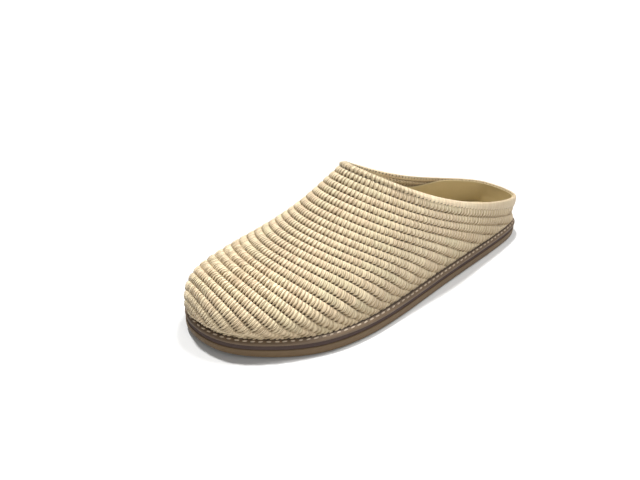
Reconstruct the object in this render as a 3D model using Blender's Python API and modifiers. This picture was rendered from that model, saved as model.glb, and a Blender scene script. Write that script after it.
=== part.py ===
"""Raffia mule, left shoe: outsole, midsole, welt, insole and one hollow upper.

Sizes are in millimetres and are turned into metres when a mesh is made. X runs from the heel to the
toe, +Y is the outer (lateral) side of this left shoe and +Z is up. The outsole rests on Z = 0.
"""

import bpy
import numpy as np

MM = 0.001

# ---------------------------------------------------------------- length, ball, instep, heel
SOLE_LENGTH = 265.6
# middle of the whole shoe in plan, which becomes the origin
CENTRE_X = 133.21
CENTRE_Y = 0.91
HEEL_TIP_Y = 0.4
TOE_TIP_Y = -8.0
# share of the length, half width on the outer side, half width on the inner side
SOLE_OUTLINE = (
    (0.02, 17.3, 18.6),
    (0.06, 24.3, 26.4),
    (0.14, 29.5, 31.7),
    (0.28, 35.2, 32.8),
    (0.42, 40.5, 31.1),
    (0.56, 46.4, 37.5),
    (0.70, 50.0, 46.2),
    (0.82, 45.6, 47.1),
    (0.92, 31.5, 36.1),
    (0.98, 15.5, 22.0),
)
CHORD_POWER = 0.7
RING_FINE = 720

# ---------------------------------------------------------------- thickness of the sole's layers
SEAT_GAP = 0.3
OUTSOLE_TOP = 4.6
MIDSOLE_BOTTOM = OUTSOLE_TOP + SEAT_GAP
MIDSOLE_TOP = 6.5
WELT_BOTTOM = MIDSOLE_TOP + SEAT_GAP
WELT_TOP = 10.2
MIDSOLE_INSET = 1.0
WELT_INNER_INSET = 13.0
WELT_ROUND = 1.3
OUTSOLE_ROUND = 0.9
TOE_SPRING = 1.2
TOE_SPRING_START = 210.0
WAIST_RISE = 1.2
WAIST_FROM = 88.0
WAIST_TO = 144.0

# ---------------------------------------------------------------- upper
FEATHER_INSET = 2.8
WALL = 2.6
WALL_FOOT = WELT_TOP + SEAT_GAP
SPRING_LEVEL = 17.2
# half widths where the wall stands upright: x, outer side, inner side
WALL_OUTLINE = (
    (6.0, 10.5, 11.5),
    (10.0, 16.3, 17.8),
    (18.0, 20.8, 22.8),
    (34.0, 24.8, 27.0),
    (52.0, 27.8, 29.0),
    (72.0, 30.7, 28.9),
    (91.0, 33.4, 27.5),
    (110.0, 36.1, 27.0),
    (128.0, 39.0, 28.7),
    (147.0, 42.0, 32.2),
    (166.0, 44.6, 36.4),
    (185.0, 45.9, 40.6),
    (201.0, 45.3, 42.8),
    (217.0, 43.0, 43.0),
    (231.0, 38.5, 39.9),
    (244.0, 31.9, 34.1),
    (252.0, 26.4, 29.0),
    (258.0, 20.3, 23.6),
    (263.0, 11.6, 16.7),
)
WALL_HEEL = (4.1, 0.3)
WALL_TOE = (266.4, -4.7)
# height of the last's crown, whether or not the wall reaches it: x, z
CROWN = (
    (0.0, 80.6),
    (56.0, 87.1),
    (116.0, 98.3),
    (163.0, 80.4),
    (184.0, 63.6),
    (206.0, 50.8),
    (231.0, 42.8),
    (246.0, 40.6),
)
TOE_CAP_START = 240.0
TOE_CAP_POWER = 2.9
# fullness of a section: x, power across, power upwards
FULLNESS = (
    (56.0, 2.2, 2.2),
    (165.0, 1.7, 1.7),
    (246.0, 1.95, 1.9),
)
# topline seen from the side: a curve that leaves the apex and sweeps down to the heel
APEX_X = 163.0
TOPLINE_LEAN = 0.512
TOPLINE_SWEEP = 0.00117

# ---------------------------------------------------------------- insole
INSOLE_SIDE_GAP = 0.35
INSOLE_TOP = 13.0
INSOLE_LEAN = 1.4
FILLER_INSET = WELT_INNER_INSET + SEAT_GAP
FILLER_BOTTOM = MIDSOLE_TOP + SEAT_GAP

# ---------------------------------------------------------------- fineness of the faceted solids
RING_STATIONS = 34
CAP_STRIPS = 4
REAR_STATIONS = 26
FRONT_STATIONS = 19
STRAIGHT_FOOT = 0.8
SWING_STEPS = 3
GIRTH_STEPS = 9
GIRTH_ROWS = GIRTH_STEPS + SWING_STEPS + 1
GIRTH_FINE = 160

COLOURS = {
    "outsole": ((0.30, 0.20, 0.125, 1.0), 0.62),
    "midsole": ((0.075, 0.05, 0.045, 1.0), 0.6),
    "welt": ((0.215, 0.155, 0.12, 1.0), 0.55),
    "insole": ((0.36, 0.25, 0.125, 1.0), 0.6),
    "upper": ((0.62, 0.49, 0.33, 1.0), 0.75),
}


def table_curve(rows, column, x):
    """Smooth curve through one column of a table, read at the places x."""
    xs = np.array([row[0] for row in rows])
    ys = np.array([row[column] for row in rows])
    x = np.clip(x, xs[0], xs[-1])
    step = np.diff(xs)
    rise = np.diff(ys) / step
    slope = np.empty_like(ys)
    slope[0] = rise[0]
    slope[-1] = rise[-1]
    slope[1:-1] = (rise[:-1] * step[1:] + rise[1:] * step[:-1]) / (step[1:] + step[:-1])
    i = np.clip(np.searchsorted(xs, x, side="right") - 1, 0, len(xs) - 2)
    t = (x - xs[i]) / step[i]
    start = (1 + 2 * t) * (1 - t) ** 2 * ys[i] + t * (1 - t) ** 2 * step[i] * slope[i]
    end = t * t * (3 - 2 * t) * ys[i + 1] + t * t * (t - 1) * step[i] * slope[i + 1]
    return start + end


def closed_curve(points, count):
    """Closed smooth plan curve through points, by a periodic cubic over the powered chord length."""
    pts = np.asarray(points, float)
    nxt = np.roll(pts, -1, axis=0)
    h = np.hypot(*(nxt - pts).T) ** CHORD_POWER
    n = len(pts)
    rise = (nxt - pts) / h[:, None]
    before = np.roll(h, 1)
    system = np.zeros((n, n))
    i = np.arange(n)
    system[i, i] = 2 * (h + before)
    system[i, (i - 1) % n] = h
    system[i, (i + 1) % n] = before
    right = 3 * (h[:, None] * np.roll(rise, 1, axis=0) + before[:, None] * rise)
    slope = np.linalg.solve(system, right)
    knots = np.concatenate([[0.0], np.cumsum(h)])
    u = np.linspace(0.0, knots[-1], count, endpoint=False)
    k = np.clip(np.searchsorted(knots, u, side="right") - 1, 0, n - 1)
    t = ((u - knots[k]) / h[k])[:, None]
    m0 = slope[k] * h[k][:, None]
    m1 = slope[(k + 1) % n] * h[k][:, None]
    start = (1 + 2 * t) * (1 - t) ** 2 * pts[k] + t * (1 - t) ** 2 * m0
    end = t * t * (3 - 2 * t) * pts[(k + 1) % n] + t * t * (t - 1) * m1
    return start + end


def outline_from(rows, heel, toe, scale):
    """Fine closed outline that starts at the heel, runs along the outer side and returns inside.

    scale turns the first column into millimetres; the half widths already are millimetres.
    """
    outer = [(row[0] * scale, row[1]) for row in rows]
    inner = [(row[0] * scale, -row[2]) for row in reversed(rows)]
    return closed_curve([heel] + outer + [toe] + inner, RING_FINE)


def inset_outline(outline, distance):
    """Outline moved inwards along its own normals."""
    along = np.roll(outline, -1, axis=0) - np.roll(outline, 1, axis=0)
    along /= np.hypot(along[:, 0], along[:, 1])[:, None]
    inward = np.stack([along[:, 1], -along[:, 0]], axis=1)
    return outline + inward * distance


def sides(outline, stations):
    """Outer and inner side of an outline at shared stations, from its heel point to its toe point."""
    ring = np.roll(outline, -int(outline[:, 0].argmin()), axis=0)
    tip = int(ring[:, 0].argmax())
    outer = ring[: tip + 1]
    inner = np.vstack([ring[tip:], ring[:1]])[::-1]
    x = ring[0, 0] + (ring[tip, 0] - ring[0, 0]) * stations
    y_outer = np.interp(x, outer[:, 0], outer[:, 1])
    y_inner = np.interp(x, inner[:, 0], inner[:, 1])
    return x, y_outer, y_inner


def spring_lift(x):
    """Rise of the whole sole towards the toe tip."""
    u = np.clip((x - TOE_SPRING_START) / (SOLE_LENGTH - TOE_SPRING_START), 0.0, 1.0)
    return TOE_SPRING * u * u


def waist_lift(x, y):
    """Hollow of the tread under the arch: it clears the floor on the inner side of the waist."""
    u = np.clip((x - WAIST_FROM) / (WAIST_TO - WAIST_FROM), 0.0, 1.0)
    inward = np.clip((20.0 - y) / 40.0, 0.0, 1.0)
    return WAIST_RISE * np.sin(np.pi * u) ** 2 * inward


def mesh_object(name, vertices, faces, collection, parent, sharp=40.0):
    """Object in the part's collection with its own material, smooth shaded with sharp edges kept."""
    verts = np.asarray(vertices, float).copy()
    verts[:, 0] -= CENTRE_X
    verts[:, 1] -= CENTRE_Y
    mesh = bpy.data.meshes.new(name)
    mesh.from_pydata([tuple(v) for v in verts * MM], [], [tuple(f) for f in faces])
    mesh.validate()
    colour, roughness = COLOURS[name]
    material = bpy.data.materials.new(name)
    material.use_nodes = True
    shader = material.node_tree.nodes["Principled BSDF"]
    shader.inputs["Base Color"].default_value = colour
    shader.inputs["Roughness"].default_value = roughness
    shader.inputs["Metallic"].default_value = 0.0
    mesh.materials.append(material)
    mesh.shade_smooth()
    mesh.set_sharp_from_angle(angle=np.radians(sharp))
    obj = bpy.data.objects.new(name, mesh)
    collection.objects.link(obj)
    obj.parent = parent
    return obj


def ring_points(outline, distance):
    """Ring of plan points: outer side from heel to toe, then the inner side back to the heel."""
    stations = (1 - np.cos(np.linspace(0.0, np.pi, RING_STATIONS + 1))) / 2
    x, outer, inner = sides(inset_outline(outline, distance), stations)
    outer[0] = inner[0] = (outer[0] + inner[0]) / 2
    outer[-1] = inner[-1] = (outer[-1] + inner[-1]) / 2
    back = slice(-2, 0, -1)
    return np.vstack([np.stack([x, outer], 1), np.stack([x[back], inner[back]], 1)])


def ring_strip(first, second, count):
    """Quads between two rings of vertices, facing out when the second lies above the first."""
    i = np.arange(count)
    j = (i + 1) % count
    return np.stack([first + j, first + i, second + i, second + j], axis=1).tolist()


def cap_grid(vertices, ring_start, height, up):
    """Close a ring with strips that run from its outer to its inner side; height(x, y) gives z."""
    n = RING_STATIONS
    ring = np.array(vertices[ring_start: ring_start + 2 * n])
    outer = ring[1:n]
    inner = ring[:n:-1]
    share = np.arange(1, CAP_STRIPS) / CAP_STRIPS
    xy = outer[:, None, :2] + (inner - outer)[:, None, :2] * share[None, :, None]
    z = height(xy[..., 0], xy[..., 1])
    start = len(vertices)
    vertices.extend(np.concatenate([xy, z[..., None]], axis=2).reshape(-1, 3).tolist())
    grid = np.empty((n - 1, CAP_STRIPS + 1), int)
    grid[:, 0] = ring_start + np.arange(1, n)
    grid[:, -1] = ring_start + 2 * n - np.arange(1, n)
    grid[:, 1:-1] = start + np.arange((n - 1) * (CAP_STRIPS - 1)).reshape(n - 1, -1)
    faces = []
    for i in range(n - 2):
        for j in range(CAP_STRIPS):
            faces.append([grid[i, j], grid[i, j + 1], grid[i + 1, j + 1], grid[i + 1, j]])
    heel = ring_start
    toe = ring_start + n
    for j in range(CAP_STRIPS):
        faces.append([heel, grid[0, j + 1], grid[0, j]])
        faces.append([toe, grid[-1, j], grid[-1, j + 1]])
    return faces if up else [face[::-1] for face in faces]


def slab(name, outline, levels, under, over, collection, parent):
    """Layer of the sole: rings at (inset, z) from bottom to top, closed by two shaped faces."""
    vertices = []
    for inset, z in levels:
        plan = ring_points(outline, inset)
        lift = spring_lift(plan[:, 0])
        vertices.extend(np.column_stack([plan, z + lift]).tolist())
    count = 2 * RING_STATIONS
    faces = []
    for level in range(len(levels) - 1):
        faces += ring_strip(level * count, (level + 1) * count, count)
    faces += cap_grid(vertices, 0, under, up=False)
    faces += cap_grid(vertices, (len(levels) - 1) * count, over, up=True)
    return mesh_object(name, vertices, faces, collection, parent)


def level_face(z):
    """Height function of a face that follows only the toe spring."""
    def height(x, y):
        return z + spring_lift(x)
    return height


def tread_face(x, y):
    """Height of the tread: flat under heel and ball, hollow under the arch, lifted at the toe."""
    return spring_lift(x) + waist_lift(x, y)


def build_sole(outline, collection, parent):
    """Outsole, midsole band and welt, each seated on the one below it."""
    corner = OUTSOLE_ROUND * (1 - np.sqrt(0.5))
    slab("outsole", outline, (
        (OUTSOLE_ROUND, 0.0),
        (corner, corner),
        (0.0, OUTSOLE_ROUND),
        (0.0, OUTSOLE_TOP - corner),
        (corner * 2, OUTSOLE_TOP),
    ), tread_face, level_face(OUTSOLE_TOP), collection, parent)
    slab("midsole", outline, (
        (MIDSOLE_INSET, MIDSOLE_BOTTOM),
        (MIDSOLE_INSET, MIDSOLE_TOP),
    ), level_face(MIDSOLE_BOTTOM), level_face(MIDSOLE_TOP), collection, parent)
    build_welt(outline, collection, parent)


def build_welt(outline, collection, parent):
    """Strip round the shoe with a rounded outer edge, open in the middle."""
    corner = WELT_ROUND * (1 - np.sqrt(0.5))
    middle = (WELT_BOTTOM + WELT_TOP) / 2
    levels = (
        (WELT_INNER_INSET, WELT_BOTTOM),
        (WELT_ROUND * 0.6, WELT_BOTTOM),
        (corner * 0.5, WELT_BOTTOM + WELT_ROUND * 0.6),
        (0.0, middle),
        (corner, WELT_TOP - corner),
        (WELT_ROUND, WELT_TOP),
        (WELT_INNER_INSET, WELT_TOP),
    )
    vertices = []
    for inset, z in levels:
        plan = ring_points(outline, inset)
        vertices.extend(np.column_stack([plan, z + spring_lift(plan[:, 0])]).tolist())
    count = 2 * RING_STATIONS
    faces = []
    for level in range(len(levels)):
        faces += ring_strip(level * count, ((level + 1) % len(levels)) * count, count)
    mesh_object("welt", vertices, faces, collection, parent)


def build_insole(outline, collection, parent):
    """Footbed inside the upper, with the filler that sits in the opening of the welt."""
    edge = FEATHER_INSET + WALL + INSOLE_SIDE_GAP
    slab("insole", outline, (
        (FILLER_INSET, FILLER_BOTTOM),
        (FILLER_INSET, WALL_FOOT),
        (edge + 0.1, WALL_FOOT),
        (edge + INSOLE_LEAN, INSOLE_TOP - 0.6),
        (edge + INSOLE_LEAN + 0.8, INSOLE_TOP),
    ), level_face(FILLER_BOTTOM), level_face(INSOLE_TOP), collection, parent)


def crown_height(x, toe_x):
    """Height of the last's centre line, rounded down at the toe."""
    crown = table_curve(CROWN, 1, x)
    u = np.clip((x - TOE_CAP_START) / (toe_x - TOE_CAP_START), 0.0, 1.0)
    return SPRING_LEVEL + (crown - SPRING_LEVEL) * (1 - u ** TOE_CAP_POWER) ** (1 / TOE_CAP_POWER)


def topline_height(x):
    """Height of the topline in side view, behind the apex."""
    back = APEX_X - x
    apex = float(table_curve(CROWN, 1, np.array([APEX_X]))[0])
    return apex - TOPLINE_LEAN * back + TOPLINE_SWEEP * back * back


def girth_line(foot, wall, centre_y, crown, rim, powers):
    """Half section of the upper from the feather to the rim or the crown.

    foot and wall are (x, y) on the feather line and on the upright wall. The wall rises straight
    from the feather, swings across to the upright wall up to the spring level, then follows a power
    curve: across ^ p + up ^ q = 1. The points above the spring level are evenly spaced.
    """
    p, q = powers
    lift = spring_lift(foot[0])
    base = WALL_FOOT + lift
    t = np.arange(SWING_STEPS) / SWING_STEPS
    swing = (t * t * (3 - 2 * t))[:, None]
    start = base + STRAIGHT_FOOT
    low = np.array(foot)[None] + (np.array(wall) - np.array(foot))[None] * swing
    low_z = start + (SPRING_LEVEL - start) * t
    full = crown - SPRING_LEVEL
    top = min(1.0, max(0.0, (rim - SPRING_LEVEL) / full)) if full > 1e-6 else 1.0
    angle = np.linspace(0.0, 1.0, GIRTH_FINE) * np.arcsin(top ** (q / 2))
    up = np.sin(angle) ** (2 / q)
    across = np.abs(np.cos(angle)) ** (2 / p)
    y = centre_y + (wall[1] - centre_y) * across
    z = SPRING_LEVEL + full * up
    length = np.concatenate([[0.0], np.cumsum(np.hypot(np.diff(y), np.diff(z)))])
    even = np.linspace(0.0, length[-1], GIRTH_STEPS + 1)
    high = np.column_stack([
        np.full(GIRTH_STEPS + 1, wall[0]), np.interp(even, length, y), np.interp(even, length, z),
    ])
    return np.vstack([[[foot[0], foot[1], base]], np.column_stack([low, low_z]), high])


def upper_stations(heel_x, toe_x):
    """Stations along the last: close together at the heel, round the apex and at the toe."""
    rear = (1 - np.cos(np.linspace(0.0, np.pi, REAR_STATIONS + 1))) / 2
    front = np.sin(np.linspace(0.0, np.pi / 2, FRONT_STATIONS + 1))
    rear_x = heel_x + (APEX_X - heel_x) * rear
    front_x = APEX_X + (toe_x - APEX_X) * front
    return np.concatenate([rear_x, front_x[1:]])


def build_upper(sole_outline, collection, parent):
    """Hollow upper: an outer sheet through girth lines, given its wall inwards by Solidify."""
    wall_ring = outline_from(WALL_OUTLINE, WALL_HEEL, WALL_TOE, 1.0)
    heel_x = float(wall_ring[:, 0].min())
    toe_x = float(wall_ring[:, 0].max())
    x = upper_stations(heel_x, toe_x)
    share = (x - heel_x) / (toe_x - heel_x)
    wx, w_outer, w_inner = sides(wall_ring, share)
    fx, f_outer, f_inner = sides(inset_outline(sole_outline, FEATHER_INSET), share)
    w_outer[0] = w_inner[0] = (w_outer[0] + w_inner[0]) / 2
    w_outer[-1] = w_inner[-1] = (w_outer[-1] + w_inner[-1]) / 2
    f_outer[0] = f_inner[0] = (f_outer[0] + f_inner[0]) / 2
    f_outer[-1] = f_inner[-1] = (f_outer[-1] + f_inner[-1]) / 2
    crown = crown_height(x, toe_x)
    rim = np.where(x < APEX_X, topline_height(x), crown)
    powers = np.stack([
        np.interp(x, [row[0] for row in FULLNESS], [row[1] for row in FULLNESS]),
        np.interp(x, [row[0] for row in FULLNESS], [row[2] for row in FULLNESS]),
    ], axis=1)
    blend = np.clip((x - heel_x) / 12.0, 0.0, 1.0) * np.clip((toe_x - x) / 12.0, 0.0, 1.0)
    middle = (w_outer + w_inner) / 2
    centre = middle * (1 - blend)
    last = len(x) - 1
    vertices = []
    index = {}

    def vertex(key, point):
        if key not in index:
            index[key] = len(vertices)
            vertices.append(list(point))
        return index[key]

    grids = []
    for side, (foot_y, wall_y) in enumerate(((f_outer, w_outer), (f_inner, w_inner))):
        grid = np.empty((last + 1, GIRTH_ROWS + 1), int)
        for i in range(last + 1):
            line = girth_line((fx[i], foot_y[i]), (wx[i], wall_y[i]), centre[i], crown[i], rim[i],
                              powers[i])
            for j in range(GIRTH_ROWS + 1):
                shared = i in (0, last) or (j == GIRTH_ROWS and x[i] >= APEX_X - 1e-9)
                grid[i, j] = vertex((i, j) if shared else (side, i, j), line[j])
        grids.append(grid)
    faces = []
    for side, grid in enumerate(grids):
        for i in range(last):
            for j in range(GIRTH_ROWS):
                face = [grid[i, j], grid[i + 1, j], grid[i + 1, j + 1], grid[i, j + 1]]
                face = list(dict.fromkeys(int(k) for k in face))
                faces.append(face if side == 1 else face[::-1])
    upper = mesh_object("upper", vertices, faces, collection, parent, sharp=60.0)
    solidify = upper.modifiers.new("wall", "SOLIDIFY")
    solidify.thickness = WALL * MM
    solidify.offset = -1.0
    solidify.use_even_offset = True
    solidify.use_rim = True
    return upper


def main():
    """Build every piece of the shoe in one collection under one empty."""
    for old in list(bpy.data.objects):
        bpy.data.objects.remove(old)
    collection = bpy.data.collections.new("raffia_mule")
    bpy.context.scene.collection.children.link(collection)
    root = bpy.data.objects.new("raffia_mule", None)
    collection.objects.link(root)
    outline = outline_from(SOLE_OUTLINE, (0.0, HEEL_TIP_Y), (SOLE_LENGTH, TOE_TIP_Y), SOLE_LENGTH)
    build_sole(outline, collection, root)
    build_insole(outline, collection, root)
    build_upper(outline, collection, root)


main()
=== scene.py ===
"""Raffia mule, left shoe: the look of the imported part.

The shoe stands on its sole with the toe towards +X, the outer (lateral) side towards +Y and +Z up.
Shapes are worked out in millimetres with X counted from the heel, as a shoemaker's last is, and are
moved to the part's own frame in metres when a mesh is made.
"""
import logging
from dataclasses import dataclass, field
from enum import Enum

import bpy
import numpy as np
from mathutils import Matrix, Vector

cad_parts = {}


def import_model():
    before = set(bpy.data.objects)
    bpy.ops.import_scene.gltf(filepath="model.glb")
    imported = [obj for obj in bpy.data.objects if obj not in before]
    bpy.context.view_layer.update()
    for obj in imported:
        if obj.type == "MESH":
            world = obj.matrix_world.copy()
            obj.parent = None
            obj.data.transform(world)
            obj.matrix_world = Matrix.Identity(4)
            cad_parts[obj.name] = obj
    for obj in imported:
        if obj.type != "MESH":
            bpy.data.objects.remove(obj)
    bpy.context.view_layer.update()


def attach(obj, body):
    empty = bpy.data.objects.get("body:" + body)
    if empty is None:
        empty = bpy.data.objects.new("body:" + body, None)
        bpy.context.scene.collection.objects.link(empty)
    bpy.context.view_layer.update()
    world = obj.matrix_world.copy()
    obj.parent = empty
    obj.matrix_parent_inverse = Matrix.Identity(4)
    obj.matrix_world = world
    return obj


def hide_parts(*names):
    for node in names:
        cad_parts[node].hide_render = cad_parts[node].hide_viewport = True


LOG = logging.getLogger("raffia_mule")
BODY = "root"
MM = 0.001
CENTRE = (133.21, 0.91)
Colour = tuple[float, float, float]
Place = tuple[float, float, float]
Span = tuple[float, float]
Table = tuple[tuple[float, ...], ...]


class Side(Enum):
    """Half of the shoe, with the sign of Y on it."""

    OUTER = 1.0
    INNER = -1.0


# ------------------------------------------------------------------ curves and meshes
def smooth_step(value: np.ndarray, low: float = 0.0, high: float = 1.0) -> np.ndarray:
    """Ease from 0 at low to 1 at high: 3t² - 2t³ of the clipped share t.

    Args:
        value: Places at which the ease is read.
        low: Value where the ease starts; above high, it makes a fall with growing value.
        high: Value where it ends.

    Returns:
        The eased share, as an array of the same shape.
    """
    t = np.clip((np.asarray(value, float) - low) / (high - low), 0.0, 1.0)
    return t * t * (3 - 2 * t)


def table_curve(rows: Table, column: int, x: np.ndarray) -> np.ndarray:
    """Cubic Hermite curve through one column of a table, with centred slopes.

    Args:
        rows: Table whose first column is the place along the shoe.
        column: Which column is read.
        x: Places at which it is read; places outside the table take its end values.

    Returns:
        The values at x.
    """
    xs = np.array([row[0] for row in rows])
    ys = np.array([row[column] for row in rows])
    x = np.clip(x, xs[0], xs[-1])
    step = np.diff(xs)
    rise = np.diff(ys) / step
    slope = np.concatenate([rise[:1], np.zeros(len(xs) - 2), rise[-1:]])
    slope[1:-1] = (rise[:-1] * step[1:] + rise[1:] * step[:-1]) / (step[1:] + step[:-1])
    i = np.clip(np.searchsorted(xs, x, side="right") - 1, 0, len(xs) - 2)
    t = (x - xs[i]) / step[i]
    start = (1 + 2 * t) * (1 - t) ** 2 * ys[i] + t * (1 - t) ** 2 * step[i] * slope[i]
    end = t * t * (3 - 2 * t) * ys[i + 1] + t * t * (t - 1) * step[i] * slope[i + 1]
    return start + end


def closed_curve(points: list[tuple[float, float]], count: int, power: float = 0.7) -> np.ndarray:
    """Closed plan curve: a periodic cubic whose parameter is the chord length to a power.

    Args:
        points: Plan points in order round the curve.
        count: Number of points on the finished curve.
        power: Power of the chord length.

    Returns:
        Array (count, 2) of plan points.
    """
    pts = np.asarray(points, float)
    nxt = np.roll(pts, -1, axis=0)
    h = np.hypot(*(nxt - pts).T) ** power
    n = len(pts)
    rise = (nxt - pts) / h[:, None]
    before = np.roll(h, 1)
    system = np.zeros((n, n))
    i = np.arange(n)
    system[i, i] = 2 * (h + before)
    system[i, (i - 1) % n] = h
    system[i, (i + 1) % n] = before
    right = 3 * (h[:, None] * np.roll(rise, 1, axis=0) + before[:, None] * rise)
    slope = np.linalg.solve(system, right)
    knots = running_sum(h)
    u = np.linspace(0.0, knots[-1], count, endpoint=False)
    k = np.clip(np.searchsorted(knots, u, side="right") - 1, 0, n - 1)
    t = ((u - knots[k]) / h[k])[:, None]
    m0 = slope[k] * h[k][:, None]
    m1 = slope[(k + 1) % n] * h[k][:, None]
    start = (1 + 2 * t) * (1 - t) ** 2 * pts[k] + t * (1 - t) ** 2 * m0
    end = t * t * (3 - 2 * t) * pts[(k + 1) % n] + t * t * (t - 1) * m1
    return start + end


def inset_outline(outline: np.ndarray, distance: float | np.ndarray) -> np.ndarray:
    """Closed outline, clockwise from above, moved inwards along its own normals.

    Args:
        outline: Plan points (n, 2).
        distance: How far it moves, in millimetres; a column (n, 1) moves each point by its own.

    Returns:
        The moved outline (n, 2).
    """
    along = np.roll(outline, -1, axis=0) - np.roll(outline, 1, axis=0)
    along /= np.hypot(along[:, 0], along[:, 1])[:, None]
    return outline + np.stack([along[:, 1], -along[:, 0]], axis=1) * distance


def split_outline(outline: np.ndarray, share: np.ndarray) -> tuple[np.ndarray, ...]:
    """Both sides of a closed outline at shares of the way from its heel to its toe.

    Args:
        outline: Plan points (n, 2), from the heel along the outer side and back.
        share: Shares from 0 to 1, both included.

    Returns:
        Arrays x, outer y and inner y; both sides meet at heel and toe.
    """
    ring = np.roll(outline, -int(outline[:, 0].argmin()), axis=0)
    tip = int(ring[:, 0].argmax())
    x = ring[0, 0] + (ring[tip, 0] - ring[0, 0]) * share
    back = np.vstack([ring[tip:], ring[:1]])[::-1]
    outer, inner = (np.interp(x, part[:, 0], part[:, 1]) for part in (ring[: tip + 1], back))
    for end in (0, -1):
        outer[end] = inner[end] = (outer[end] + inner[end]) / 2
    return x, outer, inner


def running_sum(steps: np.ndarray) -> np.ndarray:
    """Sums of the first 0, 1, 2 ... steps."""
    return np.concatenate([[0.0], np.cumsum(steps)])


def outline_steps(outline: np.ndarray) -> np.ndarray:
    """Distances from each point of a closed outline to the next."""
    return np.linalg.norm(np.roll(outline, -1, axis=0) - outline, axis=1)


def unit(vectors: np.ndarray) -> np.ndarray:
    """Vectors scaled to length one along the last axis."""
    return vectors / np.maximum(np.linalg.norm(vectors, axis=-1, keepdims=True), 1e-12)


def grid_faces(rows: int, columns: int, closed: bool = False) -> np.ndarray:
    """Quads of a grid of rows x columns vertices, counted row by row.

    Args:
        rows: Number of grid rows.
        columns: Number of vertices in a row.
        closed: Whether the last column joins the first.

    Returns:
        Array (faces, 4) of vertex numbers.
    """
    j = np.arange(columns if closed else columns - 1)
    nxt = (j + 1) % columns
    i = np.arange(rows - 1)[:, None] * columns
    quads = np.stack([i + j, i + nxt, i + columns + nxt, i + columns + j], axis=-1)
    return quads.reshape(-1, 4)


@dataclass
class MeshParts:
    """Vertices, faces, weave coordinates and openness gathered from several sheets."""

    points: list[np.ndarray] = field(default_factory=list)
    faces: list[np.ndarray] = field(default_factory=list)
    weave: list[np.ndarray] = field(default_factory=list)
    open_share: list[np.ndarray] = field(default_factory=list)
    count: int = 0

    def add(self, points: np.ndarray, faces: np.ndarray, weave: np.ndarray | None = None,
            open_share: np.ndarray | None = None) -> None:
        """Add one sheet; its arrays may have any number of axes before the last.

        Args:
            points: Vertices (..., 3) in millimetres.
            faces: Quads or triangles that number these vertices.
            weave: Weave coordinates (..., 2), wraps along and rows across.
            open_share: How open the weave is at each vertex: 0 closed, 1 open, 1.5 open and full.
        """
        points = points.reshape(-1, 3)
        self.points.append(points)
        self.faces.append(faces + self.count)
        self.weave.append(np.zeros((len(points), 2)) if weave is None else weave.reshape(-1, 2))
        self.open_share.append(np.ones(len(points)) if open_share is None else open_share.ravel())
        self.count += len(points)

    def build(self, name: str, material: bpy.types.Material, slot: str) -> bpy.types.Object:
        """Make the object, smooth shaded, riding on the shoe.

        Args:
            name: Name of the piece.
            material: Its material.
            slot: The record's material slot; not used.

        Returns:
            The finished object.
        """
        points = np.concatenate(self.points)
        points = (points - np.array([CENTRE[0], CENTRE[1], 0.0])) * MM
        mesh = bpy.data.meshes.new(name)
        sizes = [block.shape[1] for block in self.faces]
        loops = np.concatenate([block.ravel() for block in self.faces]).astype(np.int32)
        totals = np.concatenate([np.full(len(block), size)
                                 for block, size in zip(self.faces, sizes)]).astype(np.int32)
        starts = running_sum(totals)[:-1].astype(np.int32)
        mesh.vertices.add(len(points))
        mesh.vertices.foreach_set("co", points.astype(np.float32).ravel())
        mesh.loops.add(len(loops))
        mesh.loops.foreach_set("vertex_index", loops)
        mesh.polygons.add(len(totals))
        mesh.polygons.foreach_set("loop_start", starts)
        mesh.polygons.foreach_set("loop_total", totals)
        mesh.update(calc_edges=True)
        layer = mesh.uv_layers.new(name="weave")
        layer.data.foreach_set("uv", np.concatenate(self.weave)[loops].astype(np.float32).ravel())
        share = mesh.attributes.new("open_share", "FLOAT", "POINT")
        share.data.foreach_set("value", np.concatenate(self.open_share).astype(np.float32))
        mesh.validate()
        mesh.shade_smooth()
        mesh.materials.append(material)
        piece = bpy.data.objects.new(name, mesh)
        bpy.context.scene.collection.objects.link(piece)
        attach(piece, BODY)
        LOG.info("%s: %d triangles", name, int((totals - 2).sum()))
        return piece


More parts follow.
